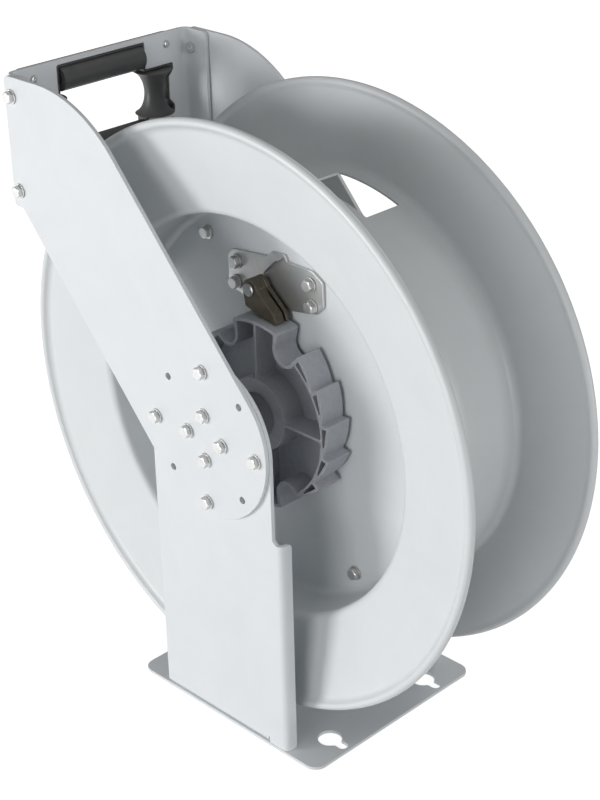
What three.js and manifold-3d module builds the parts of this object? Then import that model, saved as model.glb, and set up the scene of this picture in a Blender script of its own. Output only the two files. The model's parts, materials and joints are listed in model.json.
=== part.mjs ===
// Spring-rewind fire hose reel on a two-leg pedestal, with its arms leaning back to a
// four-roller hose guide. Millimetres, +Z up. The drum turns about an axis along Y.
// X runs across the reel, with the guide on the -X side. The origin is on the underside
// of the base plate, straight below the drum axis, halfway between the legs.
import * as THREE from 'three';
import { mergeVertices } from 'three/addons/utils/BufferGeometryUtils.js';
import Module from 'manifold-3d';

const wasm = await Module();
wasm.setup();

// ---------------------------------------------------------------- driving dimensions
// Overall
const drumRadius = 270;
const drumWidth = 164.5;         // over the two rims
const drumShift = 2.75;          // middle of the drum, from halfway between the legs
const floorClearance = 24;       // from the base's underside up to the rims
const legClearance = 17;         // from the far rim to the leg beside it
const plateSheet = 4;            // legs, arms and guide plate

// Clearances
const gap = 0.3;                 // between faces that rest on each other
const running = 0.3;             // radial, between parts that turn on each other
const sideGap = 1;               // beside a turning part
const overrun = 1;               // how far a cutting or joining solid runs past a face

// Facets round a full turn
const drumFacets = 36;
const shaftFacets = 20;
const rollerFacets = 16;
const pinFacets = 12;
const holeFacets = 8;

// Base and legs
const baseSheet = 3;
const baseLength = 236;
const baseShift = 4;             // the base sits this far towards +X of the drum axis
const baseLip = 0.2;             // base edge beyond each leg
const baseCorner = 12;
const keyholeRadius = 11;
const keyholeSlotRadius = 4.5;
const keyholeSlotRun = 16;
const keyholeInset = 24;         // from the base end to the large hole
const keyholeRowInset = 42.7;    // from the base's long edge to the row of holes
const legRear = 75;              // the legs' -X edge from the drum axis
const legFront = 86;             // the legs' +X edge, over the side flange
const legFlangeDrop = 77;        // from the drum axis down to the side flange's top
const legShoulder = 3;           // the leg narrows over this height above its side flange
const flangeDepth = 12.5;
const footDepth = 34;
const footFlangeGap = 20;        // between the foot's end and the side flange
const footBoltInset = 30;
const footBoltRow = 16;          // from the foot's free edge to its bolts

// Arms
const armHalfWidth = 75;
const armLean = 41.6;            // degrees from upright, towards -X
const armTuck = 25;              // the arms' upright edge is this far inside the rims
const armRise = 1.5;             // the arms' top edge is this far above the rims
const armHeadDrop = 121;         // length of the upright edge
const armHeadRadius = 130;
const armCorner = 6;
const armHeelCorner = 3;

// Guide plate and roller carrier
const guideBend = 9;             // outer bend radius of the guide plate
const guideFlange = 33;
const guideBoltInset = 9.5;      // from the arms' upright edge
const guideBoltTop = 18;         // from the arms' top edge
const guideBoltBottom = 16;      // from the lower end of the upright edge
const windowDrop = 54.5;         // from the arms' top edge to the middle of the window
const notchHalfWidth = 51.5;
const notchHalfHeight = 50;
const wingHalfWidth = 85.5;
const wingHalfHeight = 24;
const wingTuck = 6;              // how far the wing's side comes in beside the waist
const wingTuckFrom = 17.3;       // heights from the middle between which it comes in
const wingTuckTo = 10.8;
const carrierCollar = 2.1;
const carrierDepth = 9;
const carrierMargin = 4.2;
const carrierCorner = 5;

// Rollers
const axleRadius = 3;
const axleEndPlay = 0.6;
const barrelRadius = 11.5;
const barrelChamfer = 1;
const barrelOffset = 36;         // top and bottom roller axes from the window's middle
const waistedEndRadius = 19;
const waistedWaistRadius = 9.2;
const waistedOffset = 63;        // side roller axes from the window's middle
const waistedSideGap = 0.6;
const waistRoundness = 0.92;     // 0 is a straight cone, 1 is a half circle

// Shaft and hub
const boltHole = 3.3;
const boltCircle = 62.5;
const shaftRadius = 15;
const shaftWall = 7;             // round the waterway
const shaftFlange = 6;           // thickness of the flange behind the near leg
const shaftFlangeReach = 17;     // beyond the shaft
const innerBoltReach = 6.4;      // inner bolt circle beyond the shaft
const shaftStickOut = 30;        // beyond the far arm
const shaftHoleGap = 1.2;        // round the shaft in the far leg and arm
const shaftPort = 4;             // half width of the water port in the shaft
const spacerWall = 5.7;
const nutReach = 9;              // nut corners beyond the shaft
const nutHeight = 9;
const unionReach = 8;            // outside of the union beyond the shaft
const unionBore = 13;
const unionLength = 16;          // beyond the end of the shaft
const unionStep = 2;
const bushWall = 4;
const bushLength = 11;

// Drum
const rimBead = 4;
const nearRimSeat = 4.2;         // from the near rim's edge to the outer face of its flange
const farRimSeat = 5.7;          // from the far rim's edge to the hose face of its flange
const flangeTilt = 8;            // degrees that the flanges open outwards
const shellSheet = 2;
const coreRadius = 195;
const cupInset = 11;             // the near shell's cup inside the core
const webY = -18;                // near face of the web
const cupFillet = 7;
const lipRadius = 8;
const shoulderRadius = 24;
const windowStart = 0;           // hose window in the core, degrees from the top
const windowEnd = 21;
const windowNear = 36;           // from the web to the window's near edge
const windowFar = 76.5;
const windowReach = 12;          // radial reach of the tool that cuts the window
const webBoltInset = 19;         // web bolts inside the cup's wall
const webBoltAngle = 147.5;

// Ratchet
const ratchetRadius = 88.5;
const ratchetWidth = 26;
const ratchetStandOff = 4.4;     // from the web to the wheel
const ratchetWall = 3;
const ratchetFloor = 2.5;
const ratchetHubReach = 19;      // beyond the shaft
const ratchetRib = 2.5;
const landHalf = 18;             // degrees
const notchSpan = 18;
const notchDepth = 21.5;
const notchRound = 11;
const toothCount = 5;            // between the notches on each side
const toothDepth = 8;
const toothCrown = 0.45;         // share of the depth that a tooth has lost halfway along
const toothHeel = 0.97;          // share of its span at which a tooth ends
const pocketInset = 3.2;         // tooth pocket's corner inside the tip circle
const pocketEnd = 0.66;          // share of a tooth's span at which its pocket ends
const pocketMargin = 2;          // degrees
const pocketFloor = 0.6;
const pocketTaper = 1.6;

// Pawl
const pawlStandOff = 22.5;       // from the web to the pawl's near face
const pawlWidth = 16.4;
const pawlPivotX = -13;
const pawlPivotRise = 23.5;      // above the ratchet wheel's tip circle
const pawlTipX = 20;
const pawlTipLift = 1.9;         // tip above the ratchet wheel's land
const pawlLift = 0.9;            // middle of the pawl above the land
const pawlBossRadius = 9;
const pawlPinRadius = 4;
const pawlPinHead = 6;
const pawlPinHeadHeight = 2.1;
const pawlPinGap = 0.4;
const pawlSlotPlace = 0.68;      // share of the pawl's width
const pawlSlotHalf = 1.4;
const pawlPlateSheet = 2.6;

// Spring pack
const hubCollar = 8;             // length of the drum hub's collar on the near side
const hubCollarInset = 6.3;      // the collar's outside inside the shells' centre hole
const hubFlangeRadius = 60;
const hubFlangeSheet = 4;
const caseInset = 17;            // spring case inside the web bolt circle
const caseDepth = 46;
const caseSheet = 1.5;
const caseLip = 5;               // the case's mounting flange beyond the web bolts
const coverRim = 2.5;            // the cover's rim outside the case
const coverRimDepth = 6;
const arborReach = 15;           // beyond the shaft
const arborStart = 5;            // from the case's floor
const arborLength = 30;
const springStart = 7;
const springWidth = 27;
const springTurns = 6;
const springStepsPerTurn = 12;
const springStrip = 2;
const springMargin = 3;          // between the spring's last turn and the case

// Swivel and outlet
const swivelReach = 14;          // beyond the shaft
const swivelLength = 26;
const swivelLand = 4;            // each end ring, each seal groove and each inner ring
const swivelSeat = 4.2;          // depth of the seal grooves
const swivelChamber = 3;         // depth of the water chamber
const swivelPort = 5;            // half width of the outlet port
const sealPlay = 0.3;
const hoseTube = 12;
const hoseTubeWall = 3;
const outletRun = 26;
const outletBend = 40;
const outletTail = 34;

// Screws
const screwRadius = 2.9;
const screwHead = 5.8;
const screwHeadHeight = 4.6;
const washerRadius = 6.8;
const washerHeight = 1.3;
const screwFacets = 6;
const nutThread = 6;             // screw left beyond the plates that it clamps

// ---------------------------------------------------------------- derived places
const axisHeight = drumRadius + floorClearance;
const nearRim = drumShift - drumWidth / 2;
const farRim = drumShift + drumWidth / 2;
const legInner = farRim + legClearance;
const legOuter = legInner + plateSheet;
const armInner = legOuter + gap;
const armOuter = armInner + plateSheet;
const armRear = drumRadius - armTuck;
const armTop = drumRadius + armRise;
const armHeadTop = axisHeight + armTop;
const guideOuter = legOuter - gap;
const guideFaceX = -armRear - plateSheet;      // outer face of the cross plate
const guideInnerX = guideFaceX + plateSheet;
const rollerX = guideFaceX;                    // all four roller axes lie in this plane
const windowZ = armHeadTop - windowDrop;
const lean = THREE.MathUtils.degToRad(armLean);
const tilt = THREE.MathUtils.degToRad(flangeTilt);
const shaftHole = shaftRadius + shaftHoleGap;
const shaftFlangeRadius = shaftRadius + shaftFlangeReach;
const bushRadius = shaftRadius + bushWall;
const ratchetHub = shaftRadius + ratchetHubReach;
const cupRadius = coreRadius - cupInset;
const webBoltRadius = cupRadius - webBoltInset;
const caseRadius = webBoltRadius - caseInset;
const farWebY = webY + shellSheet + gap;       // near face of the far shell's web
const caseFloor = farWebY + shellSheet + gap;
const coverY = caseFloor + caseDepth;
const swivelNear = coverY + caseSheet + gap;
const swivelMiddle = swivelNear + swivelLength / 2;
const ratchetBack = webY - ratchetStandOff;
const ratchetNear = ratchetBack - ratchetWidth;
const notchFloor = ratchetRadius - notchDepth;
const toothSpan = (180 - 2 * landHalf - 2 * notchSpan) / toothCount;
const pawlNear = webY - pawlStandOff;
const pawlPivotZ = ratchetRadius + pawlPivotRise;
const pawlZ = axisHeight + pawlPivotZ;
const pawlPlateY = webY - gap;
const pawlPlateNear = pawlPlateY - pawlPlateSheet;

// ---------------------------------------------------------------- shape helpers
const rad = THREE.MathUtils.degToRad;

function closed(geometry) {
  const bare = geometry.index ? geometry.toNonIndexed() : geometry.clone();
  bare.deleteAttribute('normal');
  bare.deleteAttribute('uv');
  return mergeVertices(bare, 1e-4);
}

function toSolid(geometry) {
  const merged = closed(geometry);
  const vertProperties = new Float32Array(merged.attributes.position.array);
  const triVerts = new Uint32Array(merged.index.array);
  const solid = new wasm.Manifold(new wasm.Mesh({ numProp: 3, vertProperties, triVerts }));
  if (solid.volume() > 0) return solid;
  for (let i = 0; i < triVerts.length; i += 3) {
    const first = triVerts[i];
    triVerts[i] = triVerts[i + 1];
    triVerts[i + 1] = first;
  }
  return new wasm.Manifold(new wasm.Mesh({ numProp: 3, vertProperties, triVerts }));
}

function toGeometry(solid) {
  const mesh = solid.getMesh();
  const geometry = new THREE.BufferGeometry();
  geometry.setAttribute('position', new THREE.BufferAttribute(mesh.vertProperties, 3));
  geometry.setIndex(new THREE.BufferAttribute(mesh.triVerts, 1));
  geometry.computeVertexNormals();
  return geometry;
}

const cut = (solid, tools) => tools.reduce((rest, tool) => rest.subtract(tool), solid);
const join = (solids) => solids.reduce((sum, solid) => sum.add(solid));

function shapeOf(points, holes = []) {
  const shape = new THREE.Shape(points.map(([u, v]) => new THREE.Vector2(u, v)));
  shape.holes = holes.map((hole) => new THREE.Path(hole.map(([u, v]) => new THREE.Vector2(u, v))));
  return shape;
}

// A flat outline in X and Z, given from y0 to y1.
function plateY(points, y0, y1, holes = []) {
  const options = { depth: y1 - y0, bevelEnabled: false };
  const geometry = new THREE.ExtrudeGeometry(shapeOf(points, holes), options);
  geometry.rotateX(Math.PI / 2);
  geometry.translate(0, y1, 0);
  return toSolid(geometry);
}

// A flat outline in Y and Z, given from x0 to x1.
function plateX(points, x0, x1, holes = []) {
  const options = { depth: x1 - x0, bevelEnabled: false };
  const geometry = new THREE.ExtrudeGeometry(shapeOf(points, holes), options);
  const turn = new THREE.Matrix4().makeBasis(
    new THREE.Vector3(0, 1, 0), new THREE.Vector3(0, 0, 1), new THREE.Vector3(1, 0, 0));
  geometry.applyMatrix4(turn);
  geometry.translate(x0, 0, 0);
  return toSolid(geometry);
}

// A flat outline in X and Y, given from z0 to z1.
function plateZ(points, z0, z1, holes = []) {
  const options = { depth: z1 - z0, bevelEnabled: false };
  const geometry = new THREE.ExtrudeGeometry(shapeOf(points, holes), options);
  geometry.translate(0, 0, z0);
  return toSolid(geometry);
}

// A profile of [radius, y] pairs turned about the Y axis at x, z.
function turned(profile, segments, x = 0, z = axisHeight) {
  const closedProfile = profile[0][0] > 0 ? [...profile, profile[0]] : profile;
  const points = closedProfile.map(([radius, y]) => new THREE.Vector2(radius, y));
  const geometry = new THREE.LatheGeometry(points, segments);
  geometry.translate(x, 0, z);
  return toSolid(geometry);
}

// The same about an upright axis at x, y, with [radius, z] pairs.
function turnedUpright(profile, segments, x, y, z) {
  const closedProfile = profile[0][0] > 0 ? [...profile, profile[0]] : profile;
  const points = closedProfile.map(([radius, along]) => new THREE.Vector2(radius, along));
  const geometry = new THREE.LatheGeometry(points, segments);
  geometry.rotateX(Math.PI / 2);
  geometry.translate(x, y, z);
  return toSolid(geometry);
}

const rod = (radius, y0, y1, segments, x = 0, z = axisHeight) =>
  turned([[0, y0], [radius, y0], [radius, y1], [0, y1]], segments, x, z);

const tube = (inner, outer, y0, y1, segments, x = 0, z = axisHeight) =>
  turned([[inner, y0], [outer, y0], [outer, y1], [inner, y1]], segments, x, z);

function arc(u, v, radius, from, to, steps) {
  const points = [];
  for (let i = 0; i <= steps; i += 1) {
    const angle = rad(from + (to - from) * i / steps);
    points.push([u + radius * Math.cos(angle), v + radius * Math.sin(angle)]);
  }
  return points;
}

const circle = (u, v, radius, steps = 12) => arc(u, v, radius, 0, 360 * (steps - 1) / steps, steps - 1);

function roundedBox(u0, v0, u1, v1, radius, steps = 3) {
  return [
    ...arc(u1 - radius, v0 + radius, radius, -90, 0, steps),
    ...arc(u1 - radius, v1 - radius, radius, 0, 90, steps),
    ...arc(u0 + radius, v1 - radius, radius, 90, 180, steps),
    ...arc(u0 + radius, v0 + radius, radius, 180, 270, steps),
  ];
}

// Gives a path of [radius, y] pairs a thickness on its right-hand side.
function thicken(path, thickness) {
  const side = path.map((point, i) => {
    const before = path[Math.max(i - 1, 0)];
    const after = path[Math.min(i + 1, path.length - 1)];
    const du = after[0] - before[0];
    const dv = after[1] - before[1];
    const length = Math.hypot(du, dv);
    return [point[0] + thickness * dv / length, point[1] - thickness * du / length];
  });
  return [...path, ...side.reverse()];
}

// A point at an angle from the top of the drum, clockwise as seen from the near side.
function polar(radius, degrees) {
  return [radius * Math.sin(rad(degrees)), axisHeight + radius * Math.cos(rad(degrees))];
}

// ---------------------------------------------------------------- materials
const finish = (color, roughness, metalness) =>
  new THREE.MeshStandardMaterial({ color, roughness, metalness });
const paint = () => finish(0xe2e5e6, 0.5, 0.1);
const zinc = () => finish(0xb9bcbe, 0.4, 0.8);
const steel = () => finish(0x8d9092, 0.35, 0.9);
const bronze = () => finish(0x6f6247, 0.5, 0.6);
const blackPlastic = () => finish(0x2a2b2c, 0.6, 0);
const greyPlastic = () => finish(0x6d6c75, 0.6, 0);
const rubber = () => finish(0x1c1c1c, 0.9, 0);
const brass = () => finish(0xb5964f, 0.35, 0.9);

const reel = new THREE.Group();

function addNode(name, solid, material) {
  const mesh = new THREE.Mesh(toGeometry(solid), material);
  mesh.name = name;
  reel.add(mesh);
}

// ---------------------------------------------------------------- base and legs
function keyholeTools() {
  const half = legOuter + baseLip - keyholeRowInset;
  const tools = [];
  for (const end of [baseShift - baseLength / 2 + keyholeInset, baseShift + baseLength / 2 - keyholeInset]) {
    for (const row of [-half, half]) {
      tools.push(plateZ(circle(end, row, keyholeRadius, 16), -overrun, baseSheet + overrun));
      const slot = [
        ...arc(end + keyholeSlotRun, row, keyholeSlotRadius, -90, 90, 5),
        [end, row + keyholeSlotRadius],
        [end, row - keyholeSlotRadius],
      ];
      tools.push(plateZ(slot, -overrun, baseSheet + overrun));
    }
  }
  return tools;
}

function footBoltPlaces() {
  const row = legOuter - footDepth + footBoltRow;
  const xs = [-legRear + footBoltInset, legFront - plateSheet - footBoltInset];
  return [-row, row].flatMap((y) => xs.map((x) => [x, y]));
}

function basePlate() {
  const halfDepth = legOuter + baseLip;
  const x0 = baseShift - baseLength / 2;
  const outline = roundedBox(x0, -halfDepth, x0 + baseLength, halfDepth, baseCorner, 4);
  const boltTools = footBoltPlaces().map(([x, y]) =>
    plateZ(circle(x, y, boltHole, holeFacets), -overrun, baseSheet + overrun));
  return cut(plateZ(outline, 0, baseSheet), [...keyholeTools(), ...boltTools]);
}

function hubHoles(places) {
  return places.map(([x, z]) => circle(x, z, boltHole, holeFacets));
}

const outerBoltPlaces = [0, 90, 180, 270].map((degrees) => polar(boltCircle, degrees));
const openHolePlaces = [45, 135, 225, 315].map((degrees) => polar(boltCircle, degrees));
const innerBoltPlaces = [0, 90, 180, 270].map((degrees) => polar(shaftRadius + innerBoltReach, degrees));
const allHubPlaces = [...outerBoltPlaces, ...openHolePlaces, ...innerBoltPlaces];

// One leg, built for the far side and mirrored for the near one.
function leg(side, centreHole) {
  const bottom = baseSheet + gap;
  const flangeTop = axisHeight - legFlangeDrop;
  const flangeX = legFront - plateSheet;
  const footEnd = flangeX - footFlangeGap;
  const footEdge = legOuter - footDepth;
  const web = [
    [-legRear, bottom], [legFront, bottom], [legFront, flangeTop], [legRear, flangeTop + legShoulder],
    ...arc(0, axisHeight, legRear, 0, 180, 14),
  ];
  const holes = hubHoles(allHubPlaces);
  if (centreHole > 0) holes.push(circle(0, axisHeight, centreHole, 16));
  const face = plateY(web, legInner, legOuter, holes);
  const flange = plateZ([
    [flangeX, legOuter - flangeDepth], [legFront, legOuter - flangeDepth],
    [legFront, legOuter - overrun], [flangeX, legOuter - overrun],
  ], bottom, flangeTop);
  const footHoles = footBoltPlaces()
    .filter(([, y]) => y > 0)
    .map(([x, y]) => circle(x, y, boltHole, holeFacets));
  const foot = plateZ([
    [-legRear, footEdge], [footEnd, footEdge], [footEnd, legInner + overrun], [-legRear, legInner + overrun],
  ], bottom, bottom + plateSheet, footHoles);
  const built = join([face, flange, foot]);
  return side > 0 ? built : built.mirror([0, 1, 0]);
}

// ---------------------------------------------------------------- arms
// The hub end is a half circle. Two straight edges leave it along the arm's lean: the front one
// rolls over the head's large radius into the level top, the rear one ends at the head's heel.
function armOutline() {
  const alongX = -Math.sin(lean);
  const alongZ = Math.cos(lean);
  const acrossX = armHalfWidth * Math.cos(lean);
  const acrossZ = armHalfWidth * Math.sin(lean);
  const frontRun = (armTop - acrossZ) / alongZ;
  const turn = Math.PI / 2 - lean;
  const headX = acrossX + alongX * frontRun - armHeadRadius * Math.tan(turn / 2);
  const headBottom = armHeadTop - armHeadDrop;
  const rearRun = (headBottom - axisHeight + acrossZ) / alongZ;
  return [
    ...arc(0, axisHeight, armHalfWidth, 180 + armLean, 360 + armLean, 20),
    ...arc(headX, armHeadTop - armHeadRadius, armHeadRadius, armLean, 90, 8),
    ...arc(-armRear + armCorner, armHeadTop - armCorner, armCorner, 90, 180, 3),
    ...arc(-armRear + armHeelCorner, headBottom + armHeelCorner, armHeelCorner, 180, 270, 2),
    [-acrossX + alongX * rearRun, headBottom],
  ];
}

const guideBoltPlaces = [
  [-armRear + guideBoltInset, armHeadTop - guideBoltTop],
  [-armRear + guideBoltInset, armHeadTop - armHeadDrop + guideBoltBottom],
];

function arm(side, centreHole) {
  const holes = hubHoles([...allHubPlaces, ...guideBoltPlaces]);
  if (centreHole > 0) holes.push(circle(0, axisHeight, centreHole, 16));
  const built = plateY(armOutline(), armInner, armOuter, holes);
  return side > 0 ? built : built.mirror([0, 1, 0]);
}

// ---------------------------------------------------------------- guide plate and carrier
// The window is a cross: notches for the barrel rollers above and below, wings for the
// waisted rollers at the sides. Grow is the distance that the outline is moved outwards.
function windowOutline(grow) {
  const upper = [
    [notchHalfWidth + grow, notchHalfHeight + grow],
    [notchHalfWidth + grow, wingHalfHeight + grow],
    [wingHalfWidth + grow, wingHalfHeight + grow],
    [wingHalfWidth + grow, wingTuckFrom],
    [wingHalfWidth - wingTuck + grow, wingTuckTo],
  ];
  const lower = upper.map(([y, z]) => [y, -z]).reverse();
  const right = [...upper, ...lower];
  const left = right.map(([y, z]) => [-y, -z]);
  return [...right, ...left].map(([y, z]) => [y, windowZ + z]).reverse();
}

function guidePlate() {
  const edge = (shrink) => {
    const half = guideOuter - shrink;
    const x = guideFaceX + shrink;
    const bend = guideBend - shrink;
    const end = guideFaceX + guideFlange;
    return [
      [end, -half],
      ...arc(x + bend, -half + bend, bend, 270, 180, 4),
      ...arc(x + bend, half - bend, bend, 180, 90, 4),
      [end, half],
    ];
  };
  const strip = [...edge(0), ...edge(plateSheet).reverse()];
  const folded = plateZ(strip, armHeadTop - armHeadDrop, armHeadTop);
  const window = plateX(windowOutline(0), guideFaceX - overrun, guideInnerX + overrun);
  const boltTools = guideBoltPlaces.map(([x, z]) => rod(boltHole, -armOuter, armOuter, holeFacets, x, z));
  return cut(folded, [window, ...boltTools]);
}

function rollerCarrier() {
  const front = guideFaceX - gap;
  const back = front - carrierDepth;
  const halfWidth = wingHalfWidth + carrierMargin;
  const halfHeight = notchHalfHeight + carrierMargin / 2;
  const outline = roundedBox(
    -halfWidth, windowZ - halfHeight, halfWidth, windowZ + halfHeight, carrierCorner, 2);
  const flange = plateX(outline, back, front);
  const collar = plateX(windowOutline(-gap), back, guideInnerX - gap);
  const bore = plateX(windowOutline(-gap - carrierCollar), back - overrun, guideInnerX + overrun);
  const seats = axleSpans().map((span) => axleRod(span, axleRadius + gap, span.half + gap));
  return cut(join([flange, collar]), [bore, ...seats]);
}

// ---------------------------------------------------------------- rollers and axles
function axleSpans() {
  const barrelHalf = notchHalfWidth - gap - axleEndPlay;
  const waistedHalf = wingHalfHeight - gap - axleEndPlay;
  return [
    { name: 'top', upright: false, offset: barrelOffset, half: barrelHalf },
    { name: 'bottom', upright: false, offset: -barrelOffset, half: barrelHalf },
    { name: 'near', upright: true, offset: -waistedOffset, half: waistedHalf },
    { name: 'far', upright: true, offset: waistedOffset, half: waistedHalf },
  ];
}

function axleRod({ upright, offset }, radius, half) {
  const profile = [[0, -half], [radius, -half], [radius, half], [0, half]];
  return upright
    ? turnedUpright(profile, holeFacets, rollerX, offset, windowZ)
    : turned(profile, holeFacets, rollerX, windowZ + offset);
}

function barrelProfile() {
  const half = notchHalfWidth - gap - carrierCollar - sideGap;
  const bore = axleRadius + running;
  const face = barrelRadius - barrelChamfer;
  return [
    [bore, -half], [face, -half], [barrelRadius, -half + barrelChamfer],
    [barrelRadius, half - barrelChamfer], [face, half], [bore, half],
  ];
}

function waistedProfile() {
  const half = wingHalfHeight - gap - carrierCollar - waistedSideGap;
  const bore = axleRadius + running;
  const steps = 6;
  const flareAt = (along) => 1 - Math.sqrt(1 - along * along * waistRoundness);
  const outer = [];
  for (let i = 0; i <= steps; i += 1) {
    const along = -1 + 2 * i / steps;
    const share = flareAt(along) / flareAt(1);
    outer.push([waistedWaistRadius + (waistedEndRadius - waistedWaistRadius) * share, along * half]);
  }
  return [[bore, -half], ...outer, [bore, half]];
}

// ---------------------------------------------------------------- drum shells
// A flange slopes from a rounded lip out to the bead on its rim. The lip's centre lies where the
// slope through the rim's seat touches the lip; side is -1 near and 1 far.
function lipAndFlange(wallRadius, seatY, side) {
  const run = drumRadius - rimBead;
  const touchX = wallRadius + lipRadius * (1 - Math.sin(tilt));
  const touchY = seatY - side * Math.tan(tilt) * (run - touchX);
  const centreY = touchY - side * lipRadius * Math.cos(tilt);
  const lip = arc(wallRadius + lipRadius, centreY, lipRadius, 180, 180 - side * (90 - flangeTilt), 3);
  return [...lip, [run, seatY]];
}

const rimRing = (y) => turned(arc(drumRadius - rimBead, y, rimBead, 0, 300, 5), drumFacets);

function nearShell() {
  const path = [
    [ratchetHub, webY],
    ...arc(cupRadius - cupFillet, webY - cupFillet, cupFillet, 90, 0, 2),
    ...lipAndFlange(cupRadius, nearRim + nearRimSeat, -1),
  ];
  const sheet = turned(thicken(path, -shellSheet), drumFacets);
  return cut(join([sheet, rimRing(nearRim + rimBead)]), webBoltTools());
}

function farShell() {
  const path = [
    [ratchetHub, farWebY],
    ...arc(coreRadius - shoulderRadius, farWebY + shoulderRadius, shoulderRadius, -90, 0, 4),
    ...lipAndFlange(coreRadius, farRim - farRimSeat, 1),
  ];
  const sheet = turned(thicken(path, -shellSheet), drumFacets);
  return cut(join([sheet, rimRing(farRim - rimBead)]), [...webBoltTools(), coreWindowTool()]);
}

// A wedge through the core's wall, between two angles and two Y places.
function coreWindowTool() {
  const steps = 4;
  const angleAt = (i) => windowStart + (windowEnd - windowStart) * i / steps;
  const points = [];
  for (let i = 0; i <= steps; i += 1) points.push(polar(coreRadius + windowReach, angleAt(i)));
  for (let i = steps; i >= 0; i -= 1) points.push(polar(coreRadius - windowReach, angleAt(i)));
  return plateY(points, webY + windowNear, webY + windowFar);
}

const webBoltPlaces = [webBoltAngle, webBoltAngle + 180].map((degrees) => polar(webBoltRadius, degrees));

function webBoltTools() {
  return [...webBoltPlaces, ...pawlBoltPlaces()].map(([x, z]) =>
    rod(boltHole, webY - overrun, caseFloor + caseSheet + overrun, holeFacets, x, z));
}

// ---------------------------------------------------------------- ratchet
// The wheel is a moulding with a thin wall, a floor and ribs. Twice round it there is a smooth
// land between two round notches, then a run of teeth.
function notchPoints(centre, grow, steps) {
  const middle = notchFloor + notchRound;
  const points = [];
  for (let i = 0; i <= steps; i += 1) {
    const angle = rad(180 * i / steps);
    const across = -(notchRound + grow) * Math.cos(angle);
    const along = middle - (notchRound + grow) * Math.sin(angle);
    const reach = Math.hypot(across, along);
    points.push(polar(reach, centre + THREE.MathUtils.radToDeg(Math.atan2(across, along))));
  }
  return points;
}

function ratchetOutline() {
  const points = [];
  for (const turn of [0, 180]) {
    const land = [-landHalf, -landHalf / 2, 0, landHalf / 2, landHalf];
    points.push(...notchPoints(turn - landHalf - notchSpan / 2, 0, 6));
    points.push(...land.map((degrees) => polar(ratchetRadius, turn + degrees)));
    points.push(...notchPoints(turn + landHalf + notchSpan / 2, 0, 6));
    for (let tooth = 0; tooth < toothCount; tooth += 1) {
      const start = turn + landHalf + notchSpan + tooth * toothSpan;
      points.push(polar(ratchetRadius, start));
      points.push(polar(ratchetRadius - toothDepth * toothCrown, start + toothSpan / 2));
      points.push(polar(ratchetRadius - toothDepth, start + toothSpan * toothHeel));
    }
  }
  return points;
}

function ratchetCavity() {
  const wallDegrees = 3;
  const steps = 8;
  const landInside = ratchetRadius - ratchetWall;
  const toothInside = ratchetRadius - toothDepth - ratchetWall;
  const start = landHalf + notchSpan + wallDegrees;
  const points = [];
  for (const turn of [0, 180]) {
    const land = [-landHalf + wallDegrees, 0, landHalf - wallDegrees];
    points.push(...notchPoints(turn - landHalf - notchSpan / 2, ratchetWall, 4));
    points.push(...land.map((degrees) => polar(landInside, turn + degrees)));
    points.push(...notchPoints(turn + landHalf + notchSpan / 2, ratchetWall, 4));
    for (let step = 0; step <= steps; step += 1) {
      points.push(polar(toothInside, turn + start + (180 - 2 * start) * step / steps));
    }
  }
  return points;
}

function toothPockets() {
  const inside = ratchetRadius - toothDepth - pocketFloor;
  const pockets = [];
  for (const turn of [0, 180]) {
    for (let tooth = 0; tooth < toothCount; tooth += 1) {
      const start = turn + landHalf + notchSpan + tooth * toothSpan;
      const end = start + toothSpan * pocketEnd;
      pockets.push([
        polar(inside, start + pocketMargin), polar(ratchetRadius - pocketInset, start + pocketMargin),
        polar(inside + pocketTaper, end), polar(inside, end),
      ]);
    }
  }
  return pockets;
}

function crossRib(halfX, halfZ) {
  return plateY([
    [-halfX, axisHeight - halfZ], [halfX, axisHeight - halfZ],
    [halfX, axisHeight + halfZ], [-halfX, axisHeight + halfZ],
  ], ratchetNear, ratchetBack);
}

function ratchetWheel() {
  const floorY = ratchetBack - ratchetFloor;
  const floor = plateY(ratchetOutline(), floorY, ratchetBack);
  const hollows = [ratchetCavity(), ...toothPockets()].map((hollow) =>
    plateY(hollow, ratchetNear - overrun, floorY));
  const wall = cut(plateY(ratchetOutline(), ratchetNear, floorY + overrun), hollows);
  const hub = rod(ratchetHub, ratchetNear, ratchetBack, shaftFacets);
  const upright = crossRib(ratchetRib / 2, ratchetRadius - ratchetWall / 2);
  const level = crossRib(ratchetRadius - toothDepth - ratchetWall / 2, ratchetRib / 2);
  const bore = rod(shaftRadius + gap, ratchetNear - overrun, ratchetBack + overrun, shaftFacets);
  return cut(join([floor, wall, hub, upright, level]), [bore]);
}

// ---------------------------------------------------------------- pawl
// Places on the pawl plate are measured from the pawl's pivot.
const fromPivot = ([x, z]) => [pawlPivotX + x, pawlZ + z];

function pawlBoltPlaces() {
  return [[-36, 10.4], [-37, -9], [54.4, 14], [56, -5.7]].map(fromPivot);
}

function pawlPlate() {
  const outline = [
    [-47, -15], [-25, -20], [31, -17.5], [61, -12.5], [69.5, -4], [69, 19], [56, 26.3], [26, 26.5],
    [22.5, 32.6], [8, 31], [0.5, 25.8], [-41, 21], [-47, 15],
  ].map(fromPivot).reverse();
  const pivotHole = circle(pawlPivotX, pawlZ, pawlPinRadius + gap, pinFacets);
  return plateY(outline, pawlPlateNear, pawlPlateY, [...hubHoles(pawlBoltPlaces()), pivotHole]);
}

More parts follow.
